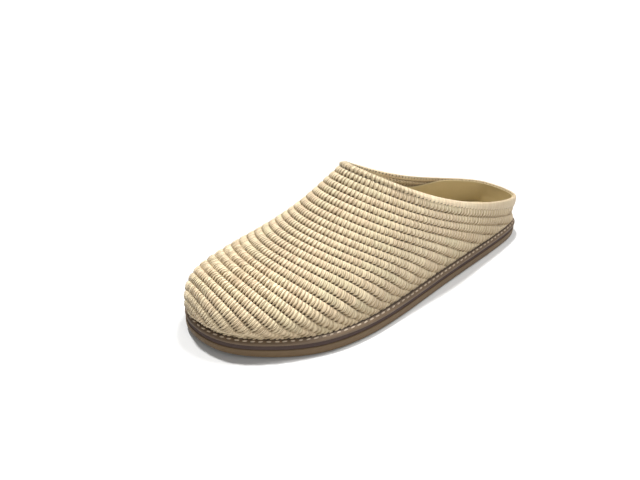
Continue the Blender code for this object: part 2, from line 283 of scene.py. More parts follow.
# ------------------------------------------------------------------ the last
@dataclass
class Last:
    """Form of the shoe: the outline of the sole, the upright wall and the crown line.

    A place on the upper is given by a station (an angle from 0 at the heel to pi at the toe tip,
    whose cosine runs evenly along the shoe), a height in millimetres and a side.
    """

    # share of the length, half width on the outer side, half width on the inner side
    sole_outline: Table = (
        (0.02, 17.3, 18.6), (0.06, 24.3, 26.4), (0.14, 29.5, 31.7), (0.28, 35.2, 32.8),
        (0.42, 40.5, 31.1), (0.56, 46.4, 37.5), (0.70, 50.0, 46.2), (0.82, 45.6, 47.1),
        (0.92, 31.5, 36.1), (0.98, 15.5, 22.0),
    )
    # place along the shoe, half width of the upright wall on the outer side and on the inner side
    wall_outline: Table = (
        (6.0, 10.5, 11.5), (10.0, 16.3, 17.8), (18.0, 20.8, 22.8), (34.0, 24.8, 27.0),
        (52.0, 27.8, 29.0), (72.0, 30.7, 28.9), (91.0, 33.4, 27.5), (110.0, 36.1, 27.0),
        (128.0, 39.0, 28.7), (147.0, 42.0, 32.2), (166.0, 44.6, 36.4), (185.0, 45.9, 40.6),
        (201.0, 45.3, 42.8), (217.0, 43.0, 43.0), (231.0, 38.5, 39.9), (244.0, 31.9, 34.1),
        (252.0, 26.4, 29.0), (258.0, 20.3, 23.6), (263.0, 11.6, 16.7),
    )
    # place along the shoe, height of the crown line
    crown_line: Table = (
        (0.0, 80.6), (56.0, 87.1), (116.0, 98.3), (163.0, 80.4), (184.0, 63.6), (206.0, 50.8),
        (231.0, 42.8), (246.0, 40.6),
    )
    # place along the shoe, power across, power upwards
    fullness: Table = ((56.0, 2.2, 2.2), (165.0, 1.7, 1.7), (246.0, 1.95, 1.9))
    length: float = 265.6
    heel_tip: float = 0.4
    toe_tip: float = -8.0
    wall_heel: Span = (4.1, 0.3)
    wall_toe: Span = (266.4, -4.7)
    feather_inset: float = 2.8
    foot_level: float = 10.5
    straight_foot: float = 0.8
    spring_level: float = 17.2
    toe_cap_start: float = 240.0
    toe_cap_power: float = 2.9
    toe_spring: float = 1.2
    toe_spring_start: float = 210.0
    tip_blend: float = 12.0
    # rise of the welt, place where it starts, place where it is complete
    welt_steps: Table = ((0.3, 184.0, 204.0), (0.5, 244.0, 266.0))
    heel_flare: float = 1.7
    flare_centre: float = 70.0
    flare_reach: Span = (80.0, 5.0)
    flare_heights: Span = (12.0, 28.0)
    lowest_angle: float = -1.15
    tip_guard: float = 0.02
    ring_count: int = 2880
    station_count: int = 2401

    def __post_init__(self) -> None:
        """Work out the sides of the feather line and of the upright wall at even stations."""
        self.sole_ring = self._ring(self.sole_outline, (0.0, self.heel_tip),
                                    (self.length, self.toe_tip), self.length)
        feather_ring = inset_outline(self.sole_ring, self.feather_inset)
        wall_ring = self._ring(self.wall_outline, self.wall_heel, self.wall_toe, 1.0)
        self.stations = np.linspace(0.0, np.pi, self.station_count)
        share = (1 - np.cos(self.stations)) / 2
        self.wall = split_outline(wall_ring, share)
        self.feather = split_outline(feather_ring, share)
        self.heel_x = float(self.wall[0][0])
        self.toe_x = float(self.wall[0][-1])

    def _ring(self, rows: Table, heel: Span, toe: Span, scale: float) -> np.ndarray:
        """Closed outline from a table of half widths.

        Args:
            rows: Table of place, outer half width and inner half width.
            heel: Plan point of the heel tip.
            toe: Plan point of the toe tip.
            scale: Factor that turns the first column into millimetres.

        Returns:
            Plan points (n, 2), from the heel along the outer side and back along the inner side.
        """
        outer = [(row[0] * scale, row[1]) for row in rows]
        inner = [(row[0] * scale, -row[2]) for row in reversed(rows)]
        return closed_curve([heel] + outer + [toe] + inner, self.ring_count)

    def _side_y(self, sides: tuple[np.ndarray, ...], station: np.ndarray,
                side: np.ndarray | float) -> np.ndarray:
        """Place across the shoe of one of the two rings, at stations and on sides."""
        outer, inner = (np.interp(station, self.stations, y) for y in sides[1:])
        return np.where(np.asarray(side) > 0, outer, inner)

    def station_at(self, x: np.ndarray) -> np.ndarray:
        """Station whose upright wall stands at the place x along the shoe."""
        share = np.clip((np.asarray(x, float) - self.heel_x) / (self.toe_x - self.heel_x), 0.0, 1.0)
        return np.arccos(1 - 2 * share)

    def wall_x(self, station: np.ndarray) -> np.ndarray:
        """Place along the shoe of the upright wall at a station."""
        return self.heel_x + (self.toe_x - self.heel_x) * (1 - np.cos(station)) / 2

    def welt_rise(self, x: np.ndarray) -> np.ndarray:
        """How much higher the welt lies round the front of the sole, a sum of eased steps."""
        return sum(rise * smooth_step(x, start, end) for rise, start, end in self.welt_steps)

    def crown(self, x: np.ndarray) -> np.ndarray:
        """Height of the crown line, rounded down over the toe by a power curve.

        Args:
            x: Places along the shoe.

        Returns:
            Heights in millimetres.
        """
        level = table_curve(self.crown_line, 1, x)
        u = np.clip((x - self.toe_cap_start) / (self.toe_x - self.toe_cap_start), 0.0, 1.0)
        drop = (1 - u ** self.toe_cap_power) ** (1 / self.toe_cap_power)
        return self.spring_level + (level - self.spring_level) * drop

    def lift(self, x: np.ndarray) -> np.ndarray:
        """Rise of the whole sole towards the toe tip, a square law."""
        u = np.clip((x - self.toe_spring_start) / (self.length - self.toe_spring_start), 0.0, 1.0)
        return self.toe_spring * u * u

    def foot(self, station: np.ndarray) -> np.ndarray:
        """Height of the upper's lower edge at a station."""
        return self.foot_level + self.lift(np.interp(station, self.stations, self.feather[0]))

    def girth_angle(self, station: np.ndarray, height: np.ndarray) -> np.ndarray:
        """Parameter up a section: below 0 under the spring level, pi/2 on the crown line.

        Args:
            station: Stations along the shoe.
            height: Heights on the section.

        Returns:
            The parameter, which surface() turns back into the same heights.
        """
        x = self.wall_x(station)
        full = np.maximum(self.crown(x) - self.spring_level, 1e-6)
        k = np.clip((height - self.spring_level) / full, 0.0, 1.0)
        q = self._power(x, 2)
        start = self.foot(station) + self.straight_foot
        low = (height - self.spring_level) / (self.spring_level - start)
        return np.where(height > self.spring_level, np.arcsin(k ** (q / 2)), low)

    def _power(self, x: np.ndarray, column: int) -> np.ndarray:
        """Power of a section at x, from the table of fullness."""
        rows = self.fullness
        return np.interp(x, [row[0] for row in rows], [row[column] for row in rows])

    def surface(self, station: np.ndarray, angle: np.ndarray, side: np.ndarray) -> np.ndarray:
        """Points of the upper's outer face.

        Above the spring level a section is the power curve across^p + up^q = 1 between the wall and
        the crown line. Below it, the wall swings in to the feather line and then drops straight.

        Args:
            station: Stations along the shoe.
            angle: Parameter up the section, from girth_angle().
            side: +1 on the outer side, -1 on the inner side.

        Returns:
            Array (..., 3) in millimetres.
        """
        x = self.wall_x(station)
        wall_y = self._side_y(self.wall, station, side)
        foot_x = np.interp(station, self.stations, self.feather[0])
        foot_y = self._side_y(self.feather, station, side)
        middle = (wall_y + self._side_y(self.wall, station, -side)) / 2
        blend = np.clip((x - self.heel_x) / self.tip_blend, 0.0, 1.0)
        blend = blend * np.clip((self.toe_x - x) / self.tip_blend, 0.0, 1.0)
        centre = middle * (1 - blend)
        high = np.clip(angle, 0.0, np.pi / 2)
        up = np.sin(high) ** (2 / self._power(x, 2))
        across = np.abs(np.cos(high)) ** (2 / self._power(x, 1))
        start = self.foot(station) + self.straight_foot
        low = np.clip(1 + angle, 0.0, 1.0)
        swing = low * low * (3 - 2 * low)
        y_high = centre + (wall_y - centre) * across
        z_high = self.spring_level + (self.crown(x) - self.spring_level) * up
        z_low = start + (self.spring_level - start) * (1 + np.minimum(angle, 0.0))
        above = angle > 0
        place = np.stack([
            np.where(above, x, foot_x + (x - foot_x) * swing),
            np.where(above, y_high, foot_y + (wall_y - foot_y) * swing),
            np.where(above, z_high, z_low),
        ], axis=-1)
        return place + self.flare(place)

    def flare(self, place: np.ndarray) -> np.ndarray:
        """Lean of the heel's top edge: outwards from a point in the seat, growing upwards.

        Args:
            place: Points of the wall (..., 3).

        Returns:
            Level shifts (..., 3).
        """
        away = (place - np.array([self.flare_centre, 0.0, 0.0])) * np.array([1.0, 1.0, 0.0])
        size = (smooth_step(place[..., 0], *self.flare_reach)
                * smooth_step(place[..., 2], *self.flare_heights))
        return unit(away) * (self.heel_flare * size)[..., None]

    def normals(self, station: np.ndarray, angle: np.ndarray, side: np.ndarray,
                step: float = 0.006) -> np.ndarray:
        """Outward normals of the outer face, from small steps along and up the section.

        Args:
            station: Stations along the shoe.
            angle: Parameter up the section.
            side: +1 on the outer side, -1 on the inner side.
            step: Size of the steps.

        Returns:
            Unit vectors (..., 3).
        """
        station = np.clip(station, 0.0, np.pi - self.tip_guard)
        angle = np.maximum(angle, self.lowest_angle)
        along = (self.surface(np.minimum(station + step, np.pi), angle, side)
                 - self.surface(np.maximum(station - step, 0.0), angle, side))
        up = (self.surface(station, np.minimum(angle + step, np.pi / 2), side)
              - self.surface(station, angle - step, side))
        return unit(np.cross(up, along) * side[..., None])


@dataclass
class RowLine:
    """One line of the weave, from its outer end over the ridge to its inner end."""

    station: np.ndarray
    height: np.ndarray
    arc: np.ndarray
    closed: bool

    def read(self, arc: np.ndarray) -> tuple[np.ndarray, np.ndarray, np.ndarray]:
        """Station, height and side at distances from the ridge, negative on the outer side."""
        side = np.where(arc <= 0, Side.OUTER.value, Side.INNER.value)
        return np.interp(arc, self.arc, self.station), np.interp(arc, self.arc, self.height), side


@dataclass
class RowPlan:
    """Lay of the raffia rows over the last.

    Seen from the side a row's line leaves the ridge and falls backwards: its height is the ridge's
    height less lean times the distance back, plus sweep times that distance squared, plus bow times
    half a sine wave that ends at the sole. Row 0 starts at the topline.
    """

    last: Last
    # row line, distance from the apex along the centre line, lean, sweep, bow
    rows: Table = (
        (0, 0.0, 0.512, 0.00117, 0.0), (1, 4.0, 0.495, 0.00083, 0.0),
        (2, 8.45, 0.514, 0.00084, 0.0), (3, 13.1, 0.5125, 0.00068, 0.0),
        (4, 17.5, 0.5055, 0.00040, 0.0), (5, 21.9, 0.516, 0.00020, 0.6),
        (6, 26.4, 0.534, 0.0, 1.2), (7, 31.15, 0.559, 0.0, 2.0),
        (9, 40.5, 0.617, 0.0, 3.1), (11, 49.4, 0.671, 0.0, 3.5),
        (13, 58.45, 0.722, 0.0, 3.5), (14, 63.3, 0.764, 0.0, 3.6),
        (15, 68.0, 0.815, 0.0, 3.3), (16, 72.7, 0.860, 0.0, 2.7),
        (17, 77.65, 0.910, 0.0, 2.2), (18, 82.3, 0.984, 0.0, 1.2),
        (19, 87.2, 1.095, 0.0, 0.5), (20, 92.45, 1.210, 0.0, 0.2),
        (21, 97.75, 1.320, 0.0, 0.0), (22, 102.65, 1.480, 0.0, 0.0),
        (24, 111.9, 2.080, 0.0, 0.0), (26, 122.5, 2.600, 0.0, 0.0),
        (28, 133.5, 3.200, 0.0, 0.0), (29, 138.6, 3.500, 0.0, 0.0),
    )
    apex_x: float = 163.0
    tuck: float = 2.2
    sole_level: float = 11.0
    lowest_ridge: float = 12.0
    wave_end: float = 1.2
    under_angle: float = -1.6
    centre_samples: int = 3000
    under_samples: int = 200
    trial_samples: int = 1500
    half_samples: int = 420
    crossing_step: float = 0.4
    count: int = 29

    def __post_init__(self) -> None:
        """Measure the centre line from the apex over the toe down to the sole."""
        start = float(self.last.station_at(np.array(self.apex_x)))
        station = np.linspace(start, np.pi, self.centre_samples)
        x = self.last.wall_x(station)
        over = np.stack([x, self.last.crown(x)], axis=1)
        low = np.linspace(0.0, self.under_angle, self.under_samples)[1:]
        end = self.last.surface(np.full(low.shape, np.pi), low, np.ones(low.shape))
        line = np.vstack([over, end[:, [0, 2]]])
        self.reach = running_sum(np.hypot(*np.diff(line, axis=0).T))
        self.centre_x = np.concatenate([x, np.full(len(low), self.last.toe_x)])
        self.centre_z = line[:, 1]

    def column(self, row: float, column: int) -> float:
        """Value of one column of the table of rows at a row line, whole or between."""
        return float(table_curve(self.rows, column, np.array([row]))[0])

    def heights(self, row: float, x: np.ndarray) -> np.ndarray:
        """Height of a row's line over the places x behind its ridge point.

        Args:
            row: Row line, whole or between two.
            x: Places along the shoe.

        Returns:
            Heights in millimetres.
        """
        reach = self.column(row, 1)
        ridge_x = float(np.interp(reach, self.reach, self.centre_x))
        ridge_z = float(np.interp(reach, self.reach, self.centre_z))
        lean = self.column(row, 2)
        back = np.maximum(ridge_x - x, 0.0)
        span = (ridge_z - self.sole_level) / lean if ridge_z > self.lowest_ridge else 1.0
        wave = np.sin(np.pi * np.clip(back / span, 0.0, self.wave_end))
        return ridge_z - lean * back + self.column(row, 3) * back ** 2 + self.column(row, 4) * wave

    def line(self, row: float) -> RowLine:
        """Line of a row over the whole shoe.

        Args:
            row: Row line, whole or between two.

        Returns:
            The line, ending below the welt's top or, near the topline, meeting itself at the heel.
        """
        last = self.last
        ridge_x = float(np.interp(self.column(row, 1), self.reach, self.centre_x))
        trial = np.linspace(last.heel_x, ridge_x, self.trial_samples)
        drop = self.heights(row, trial) - (last.foot(last.station_at(trial)) - self.tuck)
        below = np.nonzero(drop < 0)[0]
        closed = len(below) == 0
        end_x = last.heel_x if closed else float(trial[below[-1]])
        tau = np.linspace(0.0, 1.0, self.half_samples)
        x = ridge_x - (ridge_x - end_x) * np.sin(np.pi * tau / 2) ** 2
        height = self.heights(row, x)
        station = last.station_at(x)
        halves = []
        for side in (Side.OUTER, Side.INNER):
            angle = last.girth_angle(station, height)
            points = last.surface(station, angle, np.full(len(x), side.value))
            halves.append(running_sum(np.linalg.norm(np.diff(points, axis=0), axis=1)))
        arc = np.concatenate([-halves[0][::-1], halves[1][1:]])
        return RowLine(np.concatenate([station[::-1], station[1:]]),
                       np.concatenate([height[::-1], height[1:]]), arc, closed)

    def place(self, line: RowLine, arc: np.ndarray) -> tuple[np.ndarray, np.ndarray, np.ndarray]:
        """Station, girth angle and side of points on a line."""
        station, height, side = line.read(arc)
        return station, self.last.girth_angle(station, height), side

    def place_x(self, line: RowLine, arc: np.ndarray) -> np.ndarray:
        """Place along the shoe of points at distances along a line."""
        return self.last.wall_x(line.read(arc)[0])

    def cross(self, line: RowLine, points: np.ndarray, guess: np.ndarray,
              rounds: int = 3) -> np.ndarray:
        """Distances along a line where it passes squarely beside given points.

        Newton's rule: each distance moves by the part of the gap that lies along the line.

        Args:
            line: The line that is met.
            points: Points on the line before it.
            guess: First guess of the distances.
            rounds: Number of corrections.

        Returns:
            Distances along the line, kept within its ends.
        """
        step = self.crossing_step
        arc = np.clip(guess, line.arc[0], line.arc[-1])
        for _ in range(rounds):
            here = self.last.surface(*self.place(line, arc))
            ahead = self.last.surface(*self.place(line, np.minimum(arc + step, line.arc[-1])))
            behind = self.last.surface(*self.place(line, np.maximum(arc - step, line.arc[0])))
            along = unit(ahead - behind)
            arc = np.clip(arc + ((points - here) * along).sum(axis=-1), line.arc[0], line.arc[-1])
        return arc


# ------------------------------------------------------------------ woven raffia
@dataclass
class RaffiaSheet:
    """Rows of raffia wrapped over a cord, each row lapping the next one a little.

    Across a row the strip runs from 0 at its upper line to 1 at its lower line; along it each wrap
    runs from 0 to 1. The relief is worked out from these two shares and added along the normals.
    """

    plan: RowPlan
    across: tuple[float, ...] = (-0.025, 0.0, 0.07, 0.19, 0.35, 0.52, 0.68, 0.8, 0.89, 0.95, 1.0, 1.025)
    along: tuple[float, ...] = (0.0, 0.08, 0.19, 0.34, 0.5, 0.66, 0.81, 0.92)
    lap: float = 0.05
    offset: float = 0.0
    inward: bool = False
    seed: int = 41
    # row, width of a wrap near the ridge
    wrap_width: Table = ((0, 2.5), (4, 2.4), (8, 2.2), (12, 2.1), (14, 2.0), (18, 1.88), (22, 1.72),
                         (28, 1.65))
    # its growth down the sides, the share of it left round the heel, its unevenness
    side_growth: float = 0.56
    growth_arc: Span = (30.0, 74.0)
    heel_width: float = 0.8
    heel_x: Span = (5.0, 40.0)
    width_samples: int = 900
    wander: float = 0.07
    # drop of the cord's back at the row's lines: broad part, narrow part beside the line; how many
    # times as deep it is on the ridge, and the share it loses where full and where tight
    upper_drop: Span = (0.35, 0.1)
    lower_drop: Span = (0.5, 0.12)
    broad_power: float = 2.4
    narrow_power: float = 8
    ridge_drop: float = 4.2
    full_calm: float = 0.72
    tight_calm: float = 0.55
    # pit: depth, place along the wrap, width, slopes across and along the row, loss where tight
    pit: float = 1.4
    pit_phase: float = 0.25
    pit_width: float = 0.58
    pit_rim: Span = (0.74, 0.93)
    pit_slope: Span = (0.45, 1.4)
    tight_pit: float = 0.8
    # roundness of a wrap: height, power, share at the upper line, gains where full and where tight
    wrap_height: float = 0.75
    wrap_power: float = 2.4
    upper_round: float = 0.4
    round_range: Span = (0.1, 0.9)
    fuller: float = 1.2
    tighter: float = 0.6
    # lean on the neighbour, bow towards the row's ends, unevenness, share of relief left where flat
    lean: float = 0.2
    bow: float = 0.35
    bow_arc: Span = (25.0, 60.0)
    bow_end: Span = (0.5, 8.0)
    uneven: float = 0.05
    least_relief: float = 0.34
    row_end: float = 0.999
    # skirts at the upper and the lower border
    skirt: Span = (1.1, 0.1)
    skirt_width: float = 0.02
    # on the ridge: share of the roundness, extra openness, and how far down the sides they reach
    ridge_bead: float = 0.7
    bead_arc: Span = (5.0, 26.0)
    crest_open: float = 0.25
    crest_arc: Span = (10.0, 34.0)
    # openness: heights of the tight zone on the sole, its growth behind the toe, its least share
    tight_from: float = 9.5
    tight_reach: float = 6.5
    side_reach: float = 6.0
    toe_x: Span = (180.0, 225.0)
    foot_open: float = 0.55
    heel_open: float = 0.45
    heel_zone: Span = (2.0, 26.0)
    full_zone: Span = (125.0, 75.0)
    full_share: float = 0.5
    # lean of the foot outwards: toe, heel (times the toe's) and waist (times the toe's, inwards)
    foot_flare: float = 0.4
    foot_heights: Span = (18.0, 10.5)
    toe_flare_x: Span = (175.0, 215.0)
    heel_flare: float = 2.2
    heel_flare_x: Span = (30.0, 6.0)
    waist_draw: float = 1.1
    waist_x: Span = (40.0, 75.0)
    waist_end_x: Span = (190.0, 150.0)

    def wrap_bounds(self, line: RowLine, row: int, rng: np.random.Generator) -> np.ndarray:
        """Distances along a line at which one wrap ends and the next begins.

        The number of wraps up to a distance is the sum of 1 / width. The width grows away from the
        ridge and shrinks round the heel; a closed line gets a whole number of wraps on each half.

        Args:
            line: The row's upper line.
            row: Number of the row.
            rng: Source of the small irregularities.

        Returns:
            Increasing distances, including both ends of a closed line.
        """
        near = float(table_curve(self.wrap_width, 1, np.array([float(row)]))[0])
        halves = []
        for sign, end in ((-1.0, -line.arc[0]), (1.0, line.arc[-1])):
            reach = np.linspace(0.0, end, self.width_samples)
            grow = smooth_step(reach, *self.growth_arc)
            tight = self.heel_width + (1 - self.heel_width) * smooth_step(
                self.plan.place_x(line, reach * sign), *self.heel_x)
            width = near * (1 + self.side_growth * grow) * tight
            wraps = running_sum(np.diff(reach) / width[1:])
            total = round(wraps[-1]) if line.closed else int(np.ceil(wraps[-1]))
            scale = wraps[-1] / total if line.closed else 1.0
            marks = np.arange(total + 1) * scale
            marks[1:-1] += rng.normal(0.0, self.wander, total - 1)
            halves.append(np.interp(marks, wraps, reach))
        return np.concatenate([-halves[0][::-1], halves[1][1:]])

    def relief(self, share: np.ndarray, phase: np.ndarray, openness: np.ndarray,
               bead: np.ndarray, swell: np.ndarray) -> np.ndarray:
        """Height of the raffia over the last, nothing on the cord's back and less in the grooves.

        The cord's round back drops by two powers of the distance from the row's middle, more at the
        lower line than at the upper one and more on the ridge than on the sides. A pit opens at the
        lower line between two wraps. Each wrap is rounded by a power of the distance from its own
        middle and leans on its neighbour. Where the weave is full the wraps are rounder and the
        grooves shallow; where it is tight both the grooves and the pits close. The strip's borders
        end in a skirt that reaches down to the ground.

        Args:
            share: Share across the row, a little below 0 and above 1 on the skirts.
            phase: Share along the wrap, 0 to 1.
            openness: How open the weave is: up to 1 open, up to 1.5 open and full.
            bead: How far the wraps bulge, 0 to 1.
            swell: Extra height of each wrap.

        Returns:
            Heights in millimetres.
        """
        inside = np.clip(share, 0.0, 1.0)
        edge = np.abs(2 * inside - 1)
        gap = np.abs(2 * phase - 1)
        away = np.abs(2 * np.mod(phase - self.pit_phase + 0.5, 1.0) - 1)
        full = np.clip((openness - 1) / self.full_share, 0.0, 1.0)
        tight = np.clip((1 - openness) / (1 - self.foot_open), 0.0, 1.0)
        upper, lower = (broad * edge ** self.broad_power + narrow * edge ** self.narrow_power
                        for broad, narrow in (self.upper_drop, self.lower_drop))
        groove = ((1 + (self.ridge_drop - 1) * 2 * (1 - bead)) * (1 - self.full_calm * full)
                  * (1 - self.tight_calm * tight))
        height = -np.where(inside < 0.5, upper, lower) * groove
        height = height - self.pit * (1 - self.tight_pit * tight) * smooth_step(inside, *self.pit_rim) * (
            1 - smooth_step(away, self.pit_slope[0] * self.pit_width, self.pit_slope[1] * self.pit_width))
        roundness = self.wrap_height * (1 + self.fuller * full + self.tighter * tight) * bead
        roundness = roundness * (
            self.upper_round + (1 - self.upper_round) * smooth_step(inside, *self.round_range))
        height = height - roundness * gap ** self.wrap_power
        height = height + self.lean * bead * (phase - 0.5) * (1 - gap ** 4)
        height = height + swell * (1 - gap ** 2)
        height = height * (self.least_relief + (1 - self.least_relief) * np.minimum(openness, 1.0))
        return (height - self.skirt[0] * smooth_step(-share, 0.0, self.skirt_width)
                - self.skirt[1] * smooth_step(share, 1.0, 1.0 + self.skirt_width))

    def openness(self, points: np.ndarray) -> np.ndarray:
        """How open the weave is: tight along the sole and round the heel, full behind the vamp.

        Args:
            points: Points of the upper (..., 3).

        Returns:
            Openness (...): below 1 tight, 1 open, up to 1.5 open with full wraps.
        """
        x = points[..., 0]
        reach = self.tight_reach + self.side_reach * (1 - smooth_step(x, *self.toe_x))
        above = smooth_step((points[..., 2] - self.tight_from) / reach)
        rear = smooth_step(x, *self.heel_zone)
        full = smooth_step(x, *self.full_zone) * above
        return ((self.foot_open + (1 - self.foot_open) * above)
                * (self.heel_open + (1 - self.heel_open) * rear) + self.full_share * full * rear)

    def foot_lean(self, points: np.ndarray) -> np.ndarray:
        """How far the rows' feet stand out over the welt: at toe and heel, less than nothing between.

        Args:
            points: Points of the upper (..., 3).

        Returns:
            Shifts along the normals, in millimetres; zero on a strip inside the wall.
        """
        if self.inward:
            return np.zeros(points.shape[:-1])
        x = points[..., 0]
        waist = smooth_step(x, *self.waist_x) * smooth_step(x, *self.waist_end_x)
        return self.foot_flare * smooth_step(points[..., 2], *self.foot_heights) * (
            smooth_step(x, *self.toe_flare_x) + self.heel_flare * smooth_step(x, *self.heel_flare_x)
            - self.waist_draw * waist)

    def strip(self, row: int, rng: np.random.Generator) -> tuple[np.ndarray, ...]:
        """One row as a grid of points over the last.

        The row's upper line is divided into wraps. Line after line across the row, the columns are
        carried squarely onto the next line, and away from the ridge they bow towards the row's ends.

        Args:
            row: Number of the row.
            rng: Source of the small irregularities.

        Returns:
            Points (across, along, 3), weave coordinates (across, along, 2) and openness.
        """
        plan, last = self.plan, self.plan.last
        line = plan.line(row + self.lap + self.across[0])
        bounds = self.wrap_bounds(line, row, rng)
        wraps = len(bounds) - 1
        along = np.array(self.along)
        columns = bounds[:-1, None] + np.diff(bounds)[:, None] * along
        arc = np.append(columns.ravel(), bounds[-1])
        phase = np.append(np.tile(along, wraps), 0.0)
        number = np.append((np.arange(wraps)[:, None] + along).ravel(), float(wraps))
        across = np.array(self.across)
        width = np.append(np.repeat(np.diff(bounds), len(along)), 0.0)
        base, normal = [], []
        for share in across:
            if share > across[0]:
                line = plan.line(row + self.lap + float(share))
                arc = plan.cross(line, before, arc)
                if line.closed:
                    arc = np.where(arc < 0, arc * line.arc[0] / arc[0], arc * line.arc[-1] / arc[-1])
            before = last.surface(*plan.place(line, arc))
            left = np.minimum(arc - line.arc[0], line.arc[-1] - arc)
            fade = smooth_step(np.abs(arc), *self.bow_arc) * smooth_step(left, *self.bow_end)
            arch = 4 * np.clip(share, 0.0, 1.0) * (1 - np.clip(share, 0.0, 1.0))
            place = plan.place(line, arc + np.sign(arc) * self.bow * width * fade * arch)
            base.append(last.surface(*place))
            normal.append(last.normals(*place))
        base, normal = np.array(base), np.array(normal)
        share = across[:, None] + 0 * phase[None]
        from_ridge = np.abs(arc)[None]
        crest = self.crest_open * (1 - smooth_step(from_ridge, *self.crest_arc))
        open_share = np.minimum(self.openness(base) + crest, 1 + self.full_share)
        swell = np.repeat(rng.normal(0.0, self.uneven, wraps), len(along))
        swell = np.append(swell, swell[-1])[None]
        bead = self.ridge_bead + (1 - self.ridge_bead) * smooth_step(from_ridge, *self.bead_arc)
        height = self.relief(share, phase[None], open_share, bead, swell)
        sign = -1.0 if self.inward else 1.0
        points = base + normal * (self.offset + self.foot_lean(base) + sign * height)[..., None]
        weave = np.stack([number[None] + 0 * share, row + np.clip(share, 0.0, self.row_end)], axis=-1)
        return points, weave, open_share

    def build(self, name: str, rows: range, material: bpy.types.Material) -> bpy.types.Object:
        """Make one piece of several neighbouring rows.

        Args:
            name: Name of the piece.
            rows: Numbers of its rows.
            material: Raffia's material.

        Returns:
            The finished object.
        """
        parts = MeshParts()
        rng = np.random.default_rng(self.seed + rows.start)
        for row in rows:
            points, weave, open_share = self.strip(row, rng)
            faces = grid_faces(points.shape[0], points.shape[1])
            parts.add(points, faces if self.inward else faces[:, ::-1], weave, open_share)
        return parts.build(name, material, "upper")


